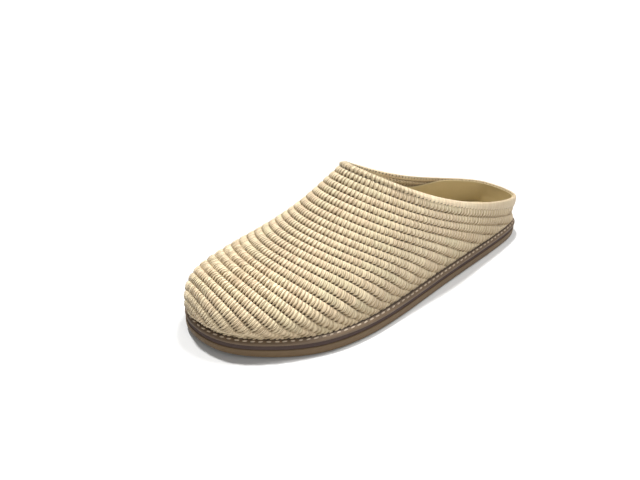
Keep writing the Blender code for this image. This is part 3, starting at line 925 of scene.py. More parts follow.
@dataclass
class RimBinding:
    """Top row of raffia: it rises from the first line of holes and rolls over the edge."""

    plan: RowPlan
    wall: float = 2.6
    # share of the row's width from the roll down to the first line
    face: tuple[float, ...] = (1.0, 0.97, 0.93, 0.87, 0.77, 0.55, 0.37, 0.18, 0.0)
    roll_steps: int = 7
    widest_roll: float = 0.8
    lap: float = 0.07
    # towards the heel the rim grows plain: its ripple and bulge fade and its holes deepen
    plain_x: Span = (157.0, 118.0)
    plain_ripple: float = 0.95
    plain_bulge: float = 0.6
    plain_hole: float = 0.5
    strands: int = 2
    ripple: float = 0.26
    ripple_power: float = 2.5
    upper_ripple: float = 0.4
    roll_ripple: float = 0.5
    bulge: float = 0.95
    groove: float = 0.3
    groove_from: float = 0.8
    pit: float = 0.45
    pit_phase: Span = (0.6, 0.92)
    pit_rim: Span = (0.86, 0.97)
    # inner face: ribs that carry the rows' lines on, thinning downwards by a square law
    depth: float = 8.0
    inner_steps: int = 21
    rib: float = 3.2
    rib_groove: float = 0.6
    rib_power: int = 5
    rib_start: float = 1.0
    thinning: float = 90
    # weave coordinate across the rim: at the roll, its growth down the face, its fall over the roll
    roll_weave: float = 0.45
    face_weave: float = 0.505
    roll_fall: float = 0.25
    seed: int = 29

    def build(self, material: bpy.types.Material) -> bpy.types.Object:
        """Carry the rim's profile round the topline.

        The profile climbs the outer face with a slight bulge, turns over a half circle as wide as
        the wall and runs down the inner face in shallow ribs.

        Args:
            material: Material of the rim.

        Returns:
            The finished object.
        """
        plan, last = self.plan, self.plan.last
        top = plan.line(0.0)
        first = plan.line(1.0 + self.lap)
        sheet = RaffiaSheet(plan)
        bounds = sheet.wrap_bounds(top, 0, np.random.default_rng(self.seed))
        steps = np.array(sheet.along)
        arc = (bounds[:-1, None] + np.diff(bounds)[:, None] * steps).ravel()
        phase = np.tile(steps, len(bounds) - 1)
        number = (np.arange(len(bounds) - 1)[:, None] + steps).ravel()
        place = plan.place(top, arc)
        edge = last.surface(*place)
        normal = last.normals(*place)
        along = unit(np.roll(edge, -1, axis=0) - np.roll(edge, 1, axis=0))
        up = unit(np.cross(along, normal))
        up = up * np.sign(up[:, 2:3])
        below_place = plan.place(first, plan.cross(first, edge, arc * first.arc[-1] / top.arc[-1]))
        below = last.surface(*below_place)
        below_normal = last.normals(*below_place)
        radius = self.wall / 2
        start = np.minimum(radius / np.linalg.norm(below - edge, axis=1), self.widest_roll)[:, None]
        plain = smooth_step(edge[:, 0], *self.plain_x)
        dent = (np.abs(2 * np.mod(phase * self.strands, 1.0) - 1) ** self.ripple_power)[:, None]
        dent = self.ripple * (1 - self.plain_ripple * plain)[:, None] * dent
        bulge = self.bulge * (1 - self.plain_bulge * plain)[:, None]
        hole = smooth_step(np.abs(2 * phase - 1), *self.pit_phase) * (1 + self.plain_hole * plain)
        rings, heights = [], []
        for share in self.face:
            mix = start + (1 - start) * share
            spot = edge + (below - edge) * mix
            out = unit(normal + (below_normal - normal) * mix)
            lift = bulge * (1 - (2 * share - 1) ** 2)
            lift = lift - self.groove * max(0.0, share - self.groove_from) / (1 - self.groove_from)
            pit = self.pit * float(smooth_step(np.array(share), *self.pit_rim))
            lift = lift - pit * hole[:, None]
            lift = lift - dent * (self.upper_ripple + (1 - self.upper_ripple) * share)
            rings.append(spot + out * lift)
            heights.append(self.roll_weave + self.face_weave * share)
        out = unit(normal + (below_normal - normal) * start)
        root = edge + (below - edge) * start
        for angle in np.linspace(0.0, np.pi, self.roll_steps + 2)[1:-1]:
            turn = out * np.cos(angle) + up * np.sin(angle)
            rings.append(root - out * radius + turn * (radius - dent * self.roll_ripple))
            heights.append(self.roll_weave - (self.roll_fall + self.rib_start / self.rib) * angle / np.pi)
        for depth in np.linspace(0.0, self.depth, self.inner_steps):
            ribs = (depth + self.rib_start) / self.rib
            groove = self.rib_groove * abs(np.cos(np.pi * ribs)) ** self.rib_power
            rings.append(root - out * (self.wall - groove - depth ** 2 / self.thinning) - up * depth)
            heights.append(self.roll_weave - self.roll_fall - ribs)
        points = np.array(rings)
        faces = grid_faces(len(rings), len(arc), closed=True)
        weave = np.stack(np.broadcast_arrays(number[None], np.array(heights)[:, None]), axis=-1)
        share = np.repeat((1 - plain)[None], len(rings), axis=0)
        parts = MeshParts()
        parts.add(points, faces, weave, share)
        return parts.build("raffia_rim", material, "upper")


@dataclass
class Backing:
    """Cords in the middle of the wall, coloured dark as painted shade seen through the holes."""

    plan: RowPlan
    depth: float = 1.5
    columns: int = 120
    reach: float = 0.999
    first_row: float = 0.4
    rows_left: float = 0.1
    rows_apart: float = 0.5

    def build(self, material: bpy.types.Material) -> bpy.types.Object:
        """Lay a plain sheet under the rows: lines at cosine shares of their own length.

        Args:
            material: Raffia painted dark as shade.

        Returns:
            The finished object.
        """
        plan, last = self.plan, self.plan.last
        share = (1 - np.cos(np.linspace(0.0, np.pi / 2, self.columns))) * self.reach
        points = []
        for row in np.arange(self.first_row, plan.count - self.rows_left, self.rows_apart):
            line = plan.line(float(row))
            arc = np.concatenate([line.arc[0] * share[::-1], line.arc[-1] * share[1:]])
            place = plan.place(line, arc)
            points.append(last.surface(*place) - last.normals(*place) * self.depth)
        points = np.array(points)
        parts = MeshParts()
        parts.add(points, grid_faces(*points.shape[:2])[:, ::-1])
        return parts.build("raffia_ground", material, "upper")


# ------------------------------------------------------------------ inside
@dataclass
class Lining:
    """Leather lining of the heel and quarters, lapped over the raffia and curved into the footbed."""

    plan: RowPlan
    wall: float = 2.6
    thickness: float = 0.75
    front: float = 152.0
    floor_level: float = 11.6
    cove: float = 2.6
    cove_heights: Span = (11.0, 18.0)
    edge_drop: float = 1.3
    dip: float = 7.2
    dip_x: Span = (36.0, 88.0)
    highest: float = 40.0
    # turned edge: step towards the raffia, step upwards
    lip: Table = ((0.12, 0.22), (0.4, 0.3), (0.95, 0.1))
    columns: int = 96
    rows: int = 26
    weave_step: float = 0.2

    def top_edge(self, x: np.ndarray) -> np.ndarray:
        """Height of the lining's cut edge: just under the rim at the heel, dipping forwards.

        Args:
            x: Places along the shoe.

        Returns:
            Heights in millimetres.
        """
        back = self.plan.apex_x - x
        apex = float(self.plan.last.crown(np.array([self.plan.apex_x]))[0])
        topline = apex - self.plan.column(0, 2) * back + self.plan.column(0, 3) * back ** 2
        drop = self.edge_drop + self.dip * smooth_step(x, *self.dip_x)
        return np.minimum(topline - drop, self.highest)

    def build(self, material: bpy.types.Material) -> bpy.types.Object:
        """Lay the sheet inside the wall from one side round the heel to the other.

        Each column runs from the footbed, where the sheet coves inwards, to the cut edge, where it
        turns back to the raffia over its own thickness.

        Args:
            material: Lining leather.

        Returns:
            The finished object.
        """
        last = self.plan.last
        half = np.linspace(0.0, float(last.station_at(np.array(self.front))), self.columns)
        station = np.concatenate([half[::-1], half[1:]])
        side = np.concatenate([np.ones(self.columns), -np.ones(self.columns - 1)])
        top = self.top_edge(last.wall_x(station))
        share = np.linspace(0.0, 1.0, self.rows)[:, None]
        height = self.floor_level + (top[None] - self.floor_level) * share
        station, side = station[None] + 0 * height, side[None] + 0 * height
        angle = last.girth_angle(station, height)
        depth = self.wall + self.thickness + self.cove * (1 - smooth_step(height, *self.cove_heights))
        normal = last.normals(station, angle, side)
        points = last.surface(station, angle, side) - normal * depth[..., None]
        lip = [points[-1] + normal[-1] * turn + np.array([0.0, 0.0, rise]) for turn, rise in self.lip]
        points = np.concatenate([points, np.array(lip)])
        rows, columns = points.shape[:2]
        weave = np.stack(np.meshgrid(np.arange(columns), np.arange(rows)), axis=-1) * self.weave_step
        parts = MeshParts()
        parts.add(points, grid_faces(rows, columns), weave)
        return parts.build("quarter_lining", material, "insole")


# ------------------------------------------------------------------ sole
@dataclass
class Ring:
    """Plan rings of the sole with shared stations, so that a face can close from side to side."""

    last: Last
    half: int = 230

    def points(self, inset: float) -> np.ndarray:
        """Ring at an inset: outer side from heel to toe, then the inner side back to the heel.

        Args:
            inset: Distance inside the sole's outline.

        Returns:
            Plan points (2 * half, 2).
        """
        share = (1 - np.cos(np.linspace(0.0, np.pi, self.half + 1))) / 2
        x, outer, inner = split_outline(inset_outline(self.last.sole_ring, inset), share)
        return np.vstack([np.stack([x, outer], 1), np.stack([x[-2:0:-1], inner[-2:0:-1]], 1)])

    def cap(self, ring: np.ndarray, strips: int) -> tuple[np.ndarray, np.ndarray]:
        """Face that closes a ring: lines from its outer to its inner side, cut into strips.

        Args:
            ring: Vertices (2 * half, 3).
            strips: Number of strips across.

        Returns:
            Vertices (half + 1, strips + 1, 3), whose border repeats the ring, and faces seen from
            above.
        """
        n = self.half
        outer = ring[: n + 1]
        inner = np.concatenate([ring[:1], ring[:n - 1:-1]])
        share = np.linspace(0.0, 1.0, strips + 1)[None, :, None]
        grid = outer[:, None] + (inner - outer)[:, None] * share
        return grid, grid_faces(n + 1, strips + 1)[:, ::-1]


@dataclass
class SoleLayer:
    """Layer of the sole: a profile of insets and heights carried round the outline."""

    last: Last
    name: str
    profile: Table
    hollow: bool = False
    strips: int = 14
    waist_rise: float = 0.0
    waist_x: Span = (88.0, 144.0)
    waist_y: Span = (20.0, -20.0)
    toe_thinning: float = 2.0
    thinning_power: float = 1.5
    top_level: float = 10.2
    welt_heights: Span = (5.6, 7.5)
    sharp_angle: float = 42.0
    weave_step: Span = (0.1, 0.2)

    def rise(self, x: np.ndarray, height: float) -> np.ndarray:
        """Rise towards the toe: the last's spring, and a square law that thins the sole from below.

        Args:
            x: Places along the shoe.
            height: Height in the sole before it rises, in millimetres.

        Returns:
            Rises in millimetres.
        """
        last = self.last
        u = np.clip((x - last.toe_spring_start) / (last.length - last.toe_spring_start), 0.0, 1.0)
        thinner = (1 - height / self.top_level) ** self.thinning_power
        welt = float(smooth_step(np.array(height), *self.welt_heights))
        return last.lift(x) + self.toe_thinning * u * u * thinner + last.welt_rise(x) * welt

    def tread(self, x: np.ndarray, y: np.ndarray) -> np.ndarray:
        """Rise of the tread on the inner side of the waist: a squared half sine along the shoe.

        Args:
            x: Places along the shoe.
            y: Places across it.

        Returns:
            Rises in millimetres.
        """
        u, v = (np.clip((place - low) / (high - low), 0.0, 1.0)
                for place, (low, high) in ((x, self.waist_x), (y, self.waist_y)))
        return self.waist_rise * np.sin(np.pi * u) ** 2 * v

    def build(self, material: bpy.types.Material) -> bpy.types.Object:
        """Carry the profile round the shoe and close it.

        Args:
            material: Material of the layer.

        Returns:
            The finished object, which stands for the CAD node of the same name.
        """
        ring = Ring(self.last)
        levels = []
        for inset, height in self.profile:
            plan = ring.points(inset)
            levels.append(np.column_stack([plan, height + self.rise(plan[:, 0], height)]))
        levels[0][:, 2] += self.tread(levels[0][:, 0], levels[0][:, 1])
        if self.hollow:
            levels.append(levels[0])
        count = len(levels[0])
        along = running_sum(np.linalg.norm(np.diff(levels[0], axis=0), axis=1))
        parts = MeshParts()
        weave = np.stack(np.meshgrid(along, np.arange(len(levels))), axis=-1) * self.weave_step
        parts.add(np.array(levels), grid_faces(len(levels), count, closed=True)[:, ::-1], weave)
        if not self.hollow:
            for level, upwards in ((0, False), (-1, True)):
                points, faces = ring.cap(levels[level], self.strips)
                if not upwards:
                    x, y = points[..., 0], points[..., 1]
                    ground = self.profile[0][1]
                    points[..., 2] = ground + self.rise(x, ground) + self.tread(x, y)
                parts.add(points, faces if upwards else faces[:, ::-1])
        piece = parts.build(self.name + "_finished", material, self.name)
        piece.data.set_sharp_from_angle(angle=np.radians(self.sharp_angle))
        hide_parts(self.name)
        return piece


@dataclass
class WeltStitching:
    """Run of thick stitches on the welt's shoulder, each a bent rounded dash sunk at both ends."""

    last: Last
    inset: float = 1.5
    level: float = 9.78
    # place along the shoe, distance from stitch to stitch
    pitch: Table = ((0, 5.25), (60, 5.15), (100, 4.92), (140, 4.55), (180, 4.48), (205, 4.4),
                    (225, 4.1), (266, 4.15))
    length_share: float = 0.77
    width: float = 0.88
    height: float = 0.62
    arch_power: float = 0.7
    arch_height: float = 0.496
    sunk: float = 0.75
    blunt: float = 0.25
    taper: float = 0.98
    lean: float = 0.55
    skew: float = 0.1
    # spread of the small irregularities: place, length, skew
    uneven_place: float = 0.12
    uneven_size: float = 0.06
    uneven_skew: float = 0.5
    look_ahead: float = 0.3
    steps: int = 7
    round_steps: int = 8
    seed: int = 12

    def build(self, material: bpy.types.Material) -> bpy.types.Object:
        """Place the dashes round the shoe.

        A dash is a tube of squashed circles whose radius follows a flattened half sine from end to
        end; its middle line arches out of the welt.

        Args:
            material: Thread.

        Returns:
            The finished object.
        """
        rng = np.random.default_rng(self.seed)
        ring = inset_outline(self.last.sole_ring, self.inset)
        steps = outline_steps(ring)
        arc = running_sum(steps)
        closed = np.vstack([ring, ring[:1]])
        pitch = table_curve(self.pitch, 1, ring[:, 0])
        number = running_sum(steps / pitch)
        count = round(number[-1])
        spots = (np.arange(count) + 0.5) * number[-1] / count
        middle = np.interp(spots, number, arc) + rng.normal(0.0, self.uneven_place, count)
        size = np.interp(spots, number[:-1], pitch) * self.length_share * (
            1 + rng.normal(0.0, self.uneven_size, count))
        share = np.linspace(-0.5, 0.5, self.steps)
        spot = np.mod(middle[:, None] + size[:, None] * share, arc[-1])
        x = np.interp(spot, arc, closed[:, 0])
        y = np.interp(spot, arc, closed[:, 1])
        ahead = np.mod(spot + self.look_ahead, arc[-1])
        tangent = unit(np.stack([np.interp(ahead, arc, closed[:, 0]) - x,
                                 np.interp(ahead, arc, closed[:, 1]) - y, 0 * x], axis=-1))
        outward = np.stack([-tangent[..., 1], tangent[..., 0], 0 * x], axis=-1)
        rise = unit(np.array([0.0, 0.0, 1.0]) + self.lean * outward)
        across = unit(np.cross(rise, tangent))
        arch = (np.cos(np.pi * share) ** self.arch_power - self.sunk) * self.arch_height
        skew = self.skew * (1 + rng.normal(0.0, self.uneven_skew, count))
        tilt = skew[:, None] * share * size[:, None]
        centre = np.stack([x, y, self.level + self.last.lift(x) + self.last.welt_rise(x)], axis=-1)
        centre = centre + rise * arch[None, :, None] + outward * tilt[..., None]
        turn = 2 * np.pi * np.arange(self.round_steps) / self.round_steps
        fat = self.blunt + (1 - self.blunt) * np.sqrt(np.cos(np.pi * share * self.taper))
        fat = fat[None, :, None, None]
        circle = (across[:, :, None] * (np.cos(turn) * self.width / 2)[None, None, :, None]
                  + rise[:, :, None] * (np.sin(turn) * self.height / 2)[None, None, :, None])
        points = centre[:, :, None] + circle * fat
        one = self.steps * self.round_steps
        faces = grid_faces(self.steps, self.round_steps, closed=True)[:, ::-1]
        many = (faces[None] + np.arange(count)[:, None, None] * one).reshape(-1, 4)
        ends = np.arange(self.round_steps)
        caps = np.stack([ends[::-1], one - self.round_steps + ends])[:, ::-1]
        caps = (caps[None] + np.arange(count)[:, None, None] * one).reshape(-1, self.round_steps)
        weave = np.stack(np.broadcast_arrays(
            (np.arange(count)[:, None] + share)[:, :, None], turn[None, None] / (2 * np.pi)), axis=-1)
        parts = MeshParts()
        parts.add(points, many, weave)
        parts.faces.append(caps)
        return parts.build("welt_stitches", material, "welt")


@dataclass
class PaintedFeatherShadow:
    """Dark strip of painted shadow in the gap between the raffia's foot and the welt, with a scalloped
    lower edge.
    """

    last: Last
    pitch: float = 4.1
    outer_inset: float = 2.1
    inner_inset: float = 3.0
    scallop: float = 0.3
    every: int = 3
    # share of the way from the outer to the inner edge, height
    profile: Table = ((0.0, 9.9), (0.15, 10.2), (0.45, 10.34), (0.75, 10.42), (1.0, 10.46))

    def build(self, material: bpy.types.Material) -> bpy.types.Object:
        """Carry a low rounded strip round the feather line.

        Its outer edge waves with the stitch pitch, by a rectified sine.

        Args:
            material: Dark colour that paints the shadow.

        Returns:
            The finished object.
        """
        ring = self.last.sole_ring
        arc = running_sum(outline_steps(ring))
        wave = np.abs(np.sin(np.pi * arc[:-1] / arc[-1] * round(arc[-1] / self.pitch)))
        levels = []
        for share, height in self.profile:
            inset = self.outer_inset + (self.inner_inset - self.outer_inset) * share
            inset = inset + self.scallop * (wave - 0.5) * (1 - share)
            plan = inset_outline(ring, inset[:, None])
            rise = self.last.lift(plan[:, 0]) + self.last.welt_rise(plan[:, 0])
            levels.append(np.column_stack([plan, height + rise])[::self.every])
        points = np.array(levels)
        parts = MeshParts()
        parts.add(points, grid_faces(*points.shape[:2], closed=True)[:, ::-1])
        return parts.build("painted_feather_shadow", material, "midsole")


# ------------------------------------------------------------------ finishes
@dataclass(frozen=True)
class Wire:
    """Output of a node that can be reckoned with: arithmetic on it places Math nodes."""

    graph: "Graph"
    socket: bpy.types.NodeSocket

    def __add__(self, other: "Wire | float") -> "Wire":
        """Sum."""
        return self.graph.math("ADD", self, other)

    def __radd__(self, other: float) -> "Wire":
        """Sum with a number in front."""
        return self.graph.math("ADD", other, self)

    def __sub__(self, other: "Wire | float") -> "Wire":
        """Difference."""
        return self.graph.math("SUBTRACT", self, other)

    def __rsub__(self, other: float) -> "Wire":
        """Difference from a number."""
        return self.graph.math("SUBTRACT", other, self)

    def __mul__(self, other: "Wire | float") -> "Wire":
        """Product."""
        return self.graph.math("MULTIPLY", self, other)

    def __truediv__(self, other: "Wire | float") -> "Wire":
        """Quotient."""
        return self.graph.math("DIVIDE", self, other)

    def __abs__(self) -> "Wire":
        """Size without the sign."""
        return self.graph.math("ABSOLUTE", self)


@dataclass(frozen=True)
class Graph:
    """Short hand for placing and joining shader nodes in one tree."""

    tree: bpy.types.NodeTree

    def add(self, kind: str, inputs: dict[str | int, object] | None = None,
            **values: object) -> bpy.types.Node:
        """Place a node.

        Args:
            kind: Type of the node, without its ShaderNode prefix.
            inputs: Wire, number or colour for each input, by its name or number.
            values: Properties of the node.

        Returns:
            The node.
        """
        node = self.tree.nodes.new("ShaderNode" + kind)
        for key, value in values.items():
            setattr(node, key, value)
        for key, value in (inputs or {}).items():
            self.feed(node.inputs[key], value)
        return node

    def feed(self, socket: bpy.types.NodeSocket, value: object) -> None:
        """Join an input to a wire, or set its value.

        Args:
            socket: Input of a node.
            value: Wire, number or colour.
        """
        if isinstance(value, Wire):
            self.tree.links.new(value.socket, socket)
        else:
            socket.default_value = (*value, 1.0) if socket.type == "RGBA" else value

    def out(self, node: bpy.types.Node, name: str | int = 0) -> Wire:
        """Output of a node, by its name or number."""
        return Wire(self, node.outputs[name])

    def math(self, operation: str, *values: Wire | float, clamp: bool = False) -> Wire:
        """Result of a Math node on wires or numbers, kept between 0 and 1 if clamp is set."""
        inputs = dict(enumerate(values))
        return self.out(self.add("Math", inputs, operation=operation, use_clamp=clamp))

    def mix(self, share: Wire, first: Wire | Colour, second: Wire | Colour) -> Wire:
        """Colour between two, by the share of the second; 6, 7 and 2 are the node's colour sockets."""
        inputs = {"Factor": share, 6: first, 7: second}
        return self.out(self.add("Mix", inputs, data_type="RGBA"), 2)

    def ease(self, value: Wire, low: float = 0.0, high: float = 1.0) -> Wire:
        """Smooth step of a value; with low above high it falls with growing value."""
        inputs = {"Value": value, "From Min": low, "From Max": high}
        return self.out(self.add("MapRange", inputs, interpolation_type="SMOOTHSTEP"), "Result")

    def vector(self, x: Wire, y: Wire, z: Wire | float) -> Wire:
        """Vector from three values."""
        return self.out(self.add("CombineXYZ", {0: x, 1: y, 2: z}))

    def split(self, vector: Wire) -> tuple[Wire, ...]:
        """The three values of a vector."""
        node = self.add("SeparateXYZ", {0: vector})
        return tuple(self.out(node, number) for number in range(3))

    def random(self, vector: Wire) -> Wire:
        """White noise at a vector, 0 to 1."""
        return self.out(self.add("TexWhiteNoise", {"Vector": vector}, noise_dimensions="3D"), "Value")

    def noise(self, vector: Wire, scale: float, detail: float) -> Wire:
        """Smooth noise at a vector, 0 to 1, with a number of waves in a unit and of finer layers."""
        inputs = {"Vector": vector, "Scale": scale, "Detail": detail}
        return self.out(self.add("TexNoise", inputs), "Fac")


def shared_group(name: str, inputs: dict[str, str], outputs: dict[str, str]
                 ) -> tuple[bpy.types.NodeTree, Graph, dict[str, Wire], bpy.types.Node]:
    """Start a shader node group.

    Args:
        name: Name of the group.
        inputs: Name and socket type of each input.
        outputs: Name and socket type of each output.

    Returns:
        The group, its graph, its inputs by name and its output node.
    """
    tree = bpy.data.node_groups.new(name, "ShaderNodeTree")
    for label, kind in inputs.items():
        tree.interface.new_socket(label, in_out="INPUT", socket_type="NodeSocket" + kind)
    for label, kind in outputs.items():
        tree.interface.new_socket(label, in_out="OUTPUT", socket_type="NodeSocket" + kind)
    graph = Graph(tree)
    source = tree.nodes.new("NodeGroupInput")
    given = {label: graph.out(source, label) for label in inputs}
    return tree, graph, given, tree.nodes.new("NodeGroupOutput")


@dataclass(frozen=True)
class WrapPattern:
    """Painted wraps of raffia, in shares of a wrap or a row; depths of shade run from 0 to 1.

    Runs of neighbouring wraps share a tone and each wrap has its own small change. Shade is painted
    into the colour: thin dark lines in the creases between strands, the valleys between wraps, the
    lower part of each wrap, and a dark ellipse of painted shadow where a wrap dives under the row's
    lower line. Where the weave is tight the painted shade is weak; where it is full the valleys are
    broad and the leading edge of a wrap is painted dark.
    """

    # openness over which the weave turns from tight to close, and from open to full
    close_range: Span = (0.3, 0.62)
    full_range: Span = (1.0, 1.5)
    low_range: Span = (0.1, 1.0)
    # tones: wraps in a run, shift of the runs from row to row, weight of the run against the wrap
    run_length: float = 5.0
    run_shift: float = 3.7
    run_weight: float = 0.6
    tone_range: Span = (0.2, 0.65)
    straw_range: Span = (0.8, 0.95)
    # strands: waves of their sway along and across, its size, and the lines that part them, painted shade
    # in the creases between strands
    sway_waves: Span = (0.9, 1.4)
    sway: float = 1.3
    parting_range: Span = (0.45, 1.0)
    parting_tones: Span = (-0.2, 0.6)
    parting_shade: float = 0.6
    parting_full: float = 0.4
    parting_tight: float = 0.25
    strand_shade: float = 0.07
    # fibres: waves along and across, the part of the noise that is dark
    fibre_waves: Span = (9.0, 0.9)
    fibre_range: Span = (0.62, 0.3)
    fibre_shade: float = 0.1
    # valleys between wraps, painted shade: where they start, how much earlier low down and where full,
    # least shades
    valley_start: float = 0.82
    valley_low: float = 0.3
    valley_full: float = 0.2
    valley_high: float = 0.6
    valley_tight: float = 0.35
    # lower part of a wrap, painted shade as on the underside of a rounded cord: shade where tight, what
    # it gains where close and loses where full
    low_tight: float = 0.05
    low_close: float = 0.37
    low_full: float = 0.25
    # leading edge, painted shade along one side of each wrap as if lit from the other: its width, its
    # share at the upper line, its shade where not full
    edge_range: Span = (0.42, 0.04)
    edge_high: float = 0.55
    edge_least: float = 0.1
    # hole, painted shadow where a wrap dives under the row's lower line: place across the row, slant,
    # soft rim, least size and spread, depth
    hole_place: float = 0.93
    hole_slant: float = 0.12
    hole_rim: Span = (0.6, 1.15)
    hole_size: float = 0.9
    hole_spread: float = 0.35
    hole_open: Span = (0.5, 0.95)
    hole_full: float = 0.3
    hole_least: float = 0.7
    # relief of fibres and partings
    fibre_height: float = 0.35
    parting_height: float = 0.8

    def build(self) -> bpy.types.NodeTree:
        """Group that paints wraps from weave coordinates.

        The last number of each vector that feeds a random value keeps these values apart.

        Returns:
            The group, with outputs Color and Height.
        """
        tree, g, given, result = shared_group(
            "raffia_wraps",
            {"Weave": "Vector", "Open": "Float", "Strands": "Float", "Valley": "Float",
             "Pit Phase": "Float", "Pit Width": "Float", "Pit Height": "Float", "Pit Floor": "Float",
             "Cream": "Color", "Blush": "Color", "Straw": "Color", "Shade": "Color", "Hollow": "Color"},
            {"Color": "Color", "Height": "Float"})
        along, row, _ = g.split(given["Weave"])
        line, share = g.math("FLOOR", row), g.math("FRACT", row)
        wrap, phase = g.math("FLOOR", along), g.math("FRACT", along)
        low = g.ease(share, *self.low_range)
        close = g.ease(given["Open"], *self.close_range)
        full = g.ease(given["Open"], *self.full_range)

        # tones of runs and wraps, and runs of straw
        run = g.math("FLOOR", (along + line * self.run_shift) / self.run_length)
        run_tone = g.random(g.vector(run, line, 3.0)) * self.run_weight
        wrap_tone = g.random(g.vector(wrap, line, 8.0)) * (1 - self.run_weight)
        tone = g.mix(g.ease(run_tone + wrap_tone, *self.tone_range), given["Blush"], given["Cream"])
        straw = g.ease(g.random(g.vector(run, line, 5.0)), *self.straw_range)
        tone = g.mix(straw, tone, given["Straw"])

        # strands, the lines between them and the fibres
        place = g.vector(along * self.sway_waves[0], row * self.sway_waves[1], line)
        thread = along * given["Strands"] + g.noise(place, 1.0, 1.0) * self.sway
        strand_tone = g.random(g.vector(g.math("FLOOR", thread), line, 13.0))
        rib = abs(g.math("FRACT", thread) * 2.0 - 1.0)
        parting = g.ease(rib, *self.parting_range) * g.ease(strand_tone, *self.parting_tones)
        place = g.vector(along * self.fibre_waves[0], row * self.fibre_waves[1], wrap)
        fibre = g.noise(place, 1.0, 2.0)

        # painted shade in the valleys, partings, lower part and leading edge; darker tones of fibres and
        # single strands
        gap = abs(phase * 2.0 - 1.0)
        start = self.valley_start - low * self.valley_low - (full * self.valley_full + given["Valley"])
        dark = g.ease((gap - start) / (1.0 - start))
        dark = dark * (self.valley_high + low * (1 - self.valley_high))
        dark = dark * (self.valley_tight + close * (1 - self.valley_tight))
        fine = self.parting_shade - full * self.parting_full
        fine = fine * (self.parting_tight + close * (1 - self.parting_tight))
        dark = dark + parting * fine
        dark = dark + low * (self.low_tight + close * (self.low_close - full * self.low_full))
        edge = g.ease(phase, *self.edge_range) * (self.edge_high + low * (1 - self.edge_high))
        dark = dark + edge * (self.edge_least + full) * close
        dark = dark + g.ease(fibre, *self.fibre_range) * self.fibre_shade
        dark = g.math("ADD", dark, strand_tone * self.strand_shade, clamp=True)
        colour = g.mix(dark, tone, given["Shade"])

        # hole: painted shadow, a slanting ellipse at the lower line, of uneven size and depth
        spot = along - given["Pit Phase"] + 0.5
        away = g.math("FRACT", spot) * 2.0 - 1.0
        side = away / given["Pit Width"]
        slant = away * given["Pit Width"] * self.hole_slant
        down = (share - (self.hole_place + slant)) / given["Pit Height"]
        reach = g.math("SQRT", side * side + down * down)
        chance = g.random(g.vector(g.math("FLOOR", spot), line, 33.0))
        size = self.hole_size + chance * self.hole_spread
        hole = 1.0 - g.ease(reach / size, *self.hole_rim)
        depth = g.math("MAXIMUM", g.ease(given["Open"], *self.hole_open), given["Pit Floor"])
        depth = depth * (1.0 - full * self.hole_full)
        hole = hole * (depth * (self.hole_least + chance * (1 - self.hole_least)))
        g.feed(result.inputs["Color"], g.mix(hole, colour, given["Hollow"]))
        height = fibre * self.fibre_height - parting * self.parting_height
        g.feed(result.inputs["Height"], height)
        return tree


@dataclass(frozen=True)
class GrainPattern:
    """Grain of leather and rubber: pores, broad clouds and rubbed patches.

    Each noise has its waves in a metre, or in a pore's size, and its number of finer layers.
    """

    cell_weight: float = 0.6
    fine_noise: Span = (2.3, 3.0)
    fine_weight: float = 0.5
    cloud_noise: Span = (45.0, 3.0)
    rub_noise: Span = (160.0, 4.0)
    rub_range: Span = (0.55, 0.75)

    def build(self) -> bpy.types.NodeTree:
        """Group on Object coordinates.

        Returns:
            The group, with outputs Pores, Clouds and Rubbed.
        """
        tree, g, given, result = shared_group(
            "grain", {"Vector": "Vector", "Size": "Float"},
            {"Pores": "Float", "Clouds": "Float", "Rubbed": "Float"})
        place = given["Vector"]
        scaled = g.out(g.add("VectorMath", {0: place, "Scale": given["Size"]}, operation="SCALE"))
        cells = g.out(g.add("TexVoronoi", {"Vector": scaled, "Scale": 1.0}), "Distance")
        pores = cells * self.cell_weight + g.noise(scaled, *self.fine_noise) * self.fine_weight
        g.feed(result.inputs["Pores"], pores)
        g.feed(result.inputs["Clouds"], g.noise(place, *self.cloud_noise))
        g.feed(result.inputs["Rubbed"], g.ease(g.noise(place, *self.rub_noise), *self.rub_range))
        return tree


@dataclass
class Groups:
    """Node groups that several finishes share."""

    wraps: bpy.types.NodeTree = field(default_factory=lambda: WrapPattern().build())
    grain: bpy.types.NodeTree = field(default_factory=lambda: GrainPattern().build())


def new_material(name: str) -> tuple[bpy.types.Material, Graph, bpy.types.Node]:
    """Make a node material.

    Args:
        name: Name of the material.

    Returns:
        The material, its graph and its Principled shader.
    """
    material = bpy.data.materials.new(name)
    material.use_nodes = True
    return material, Graph(material.node_tree), material.node_tree.nodes["Principled BSDF"]


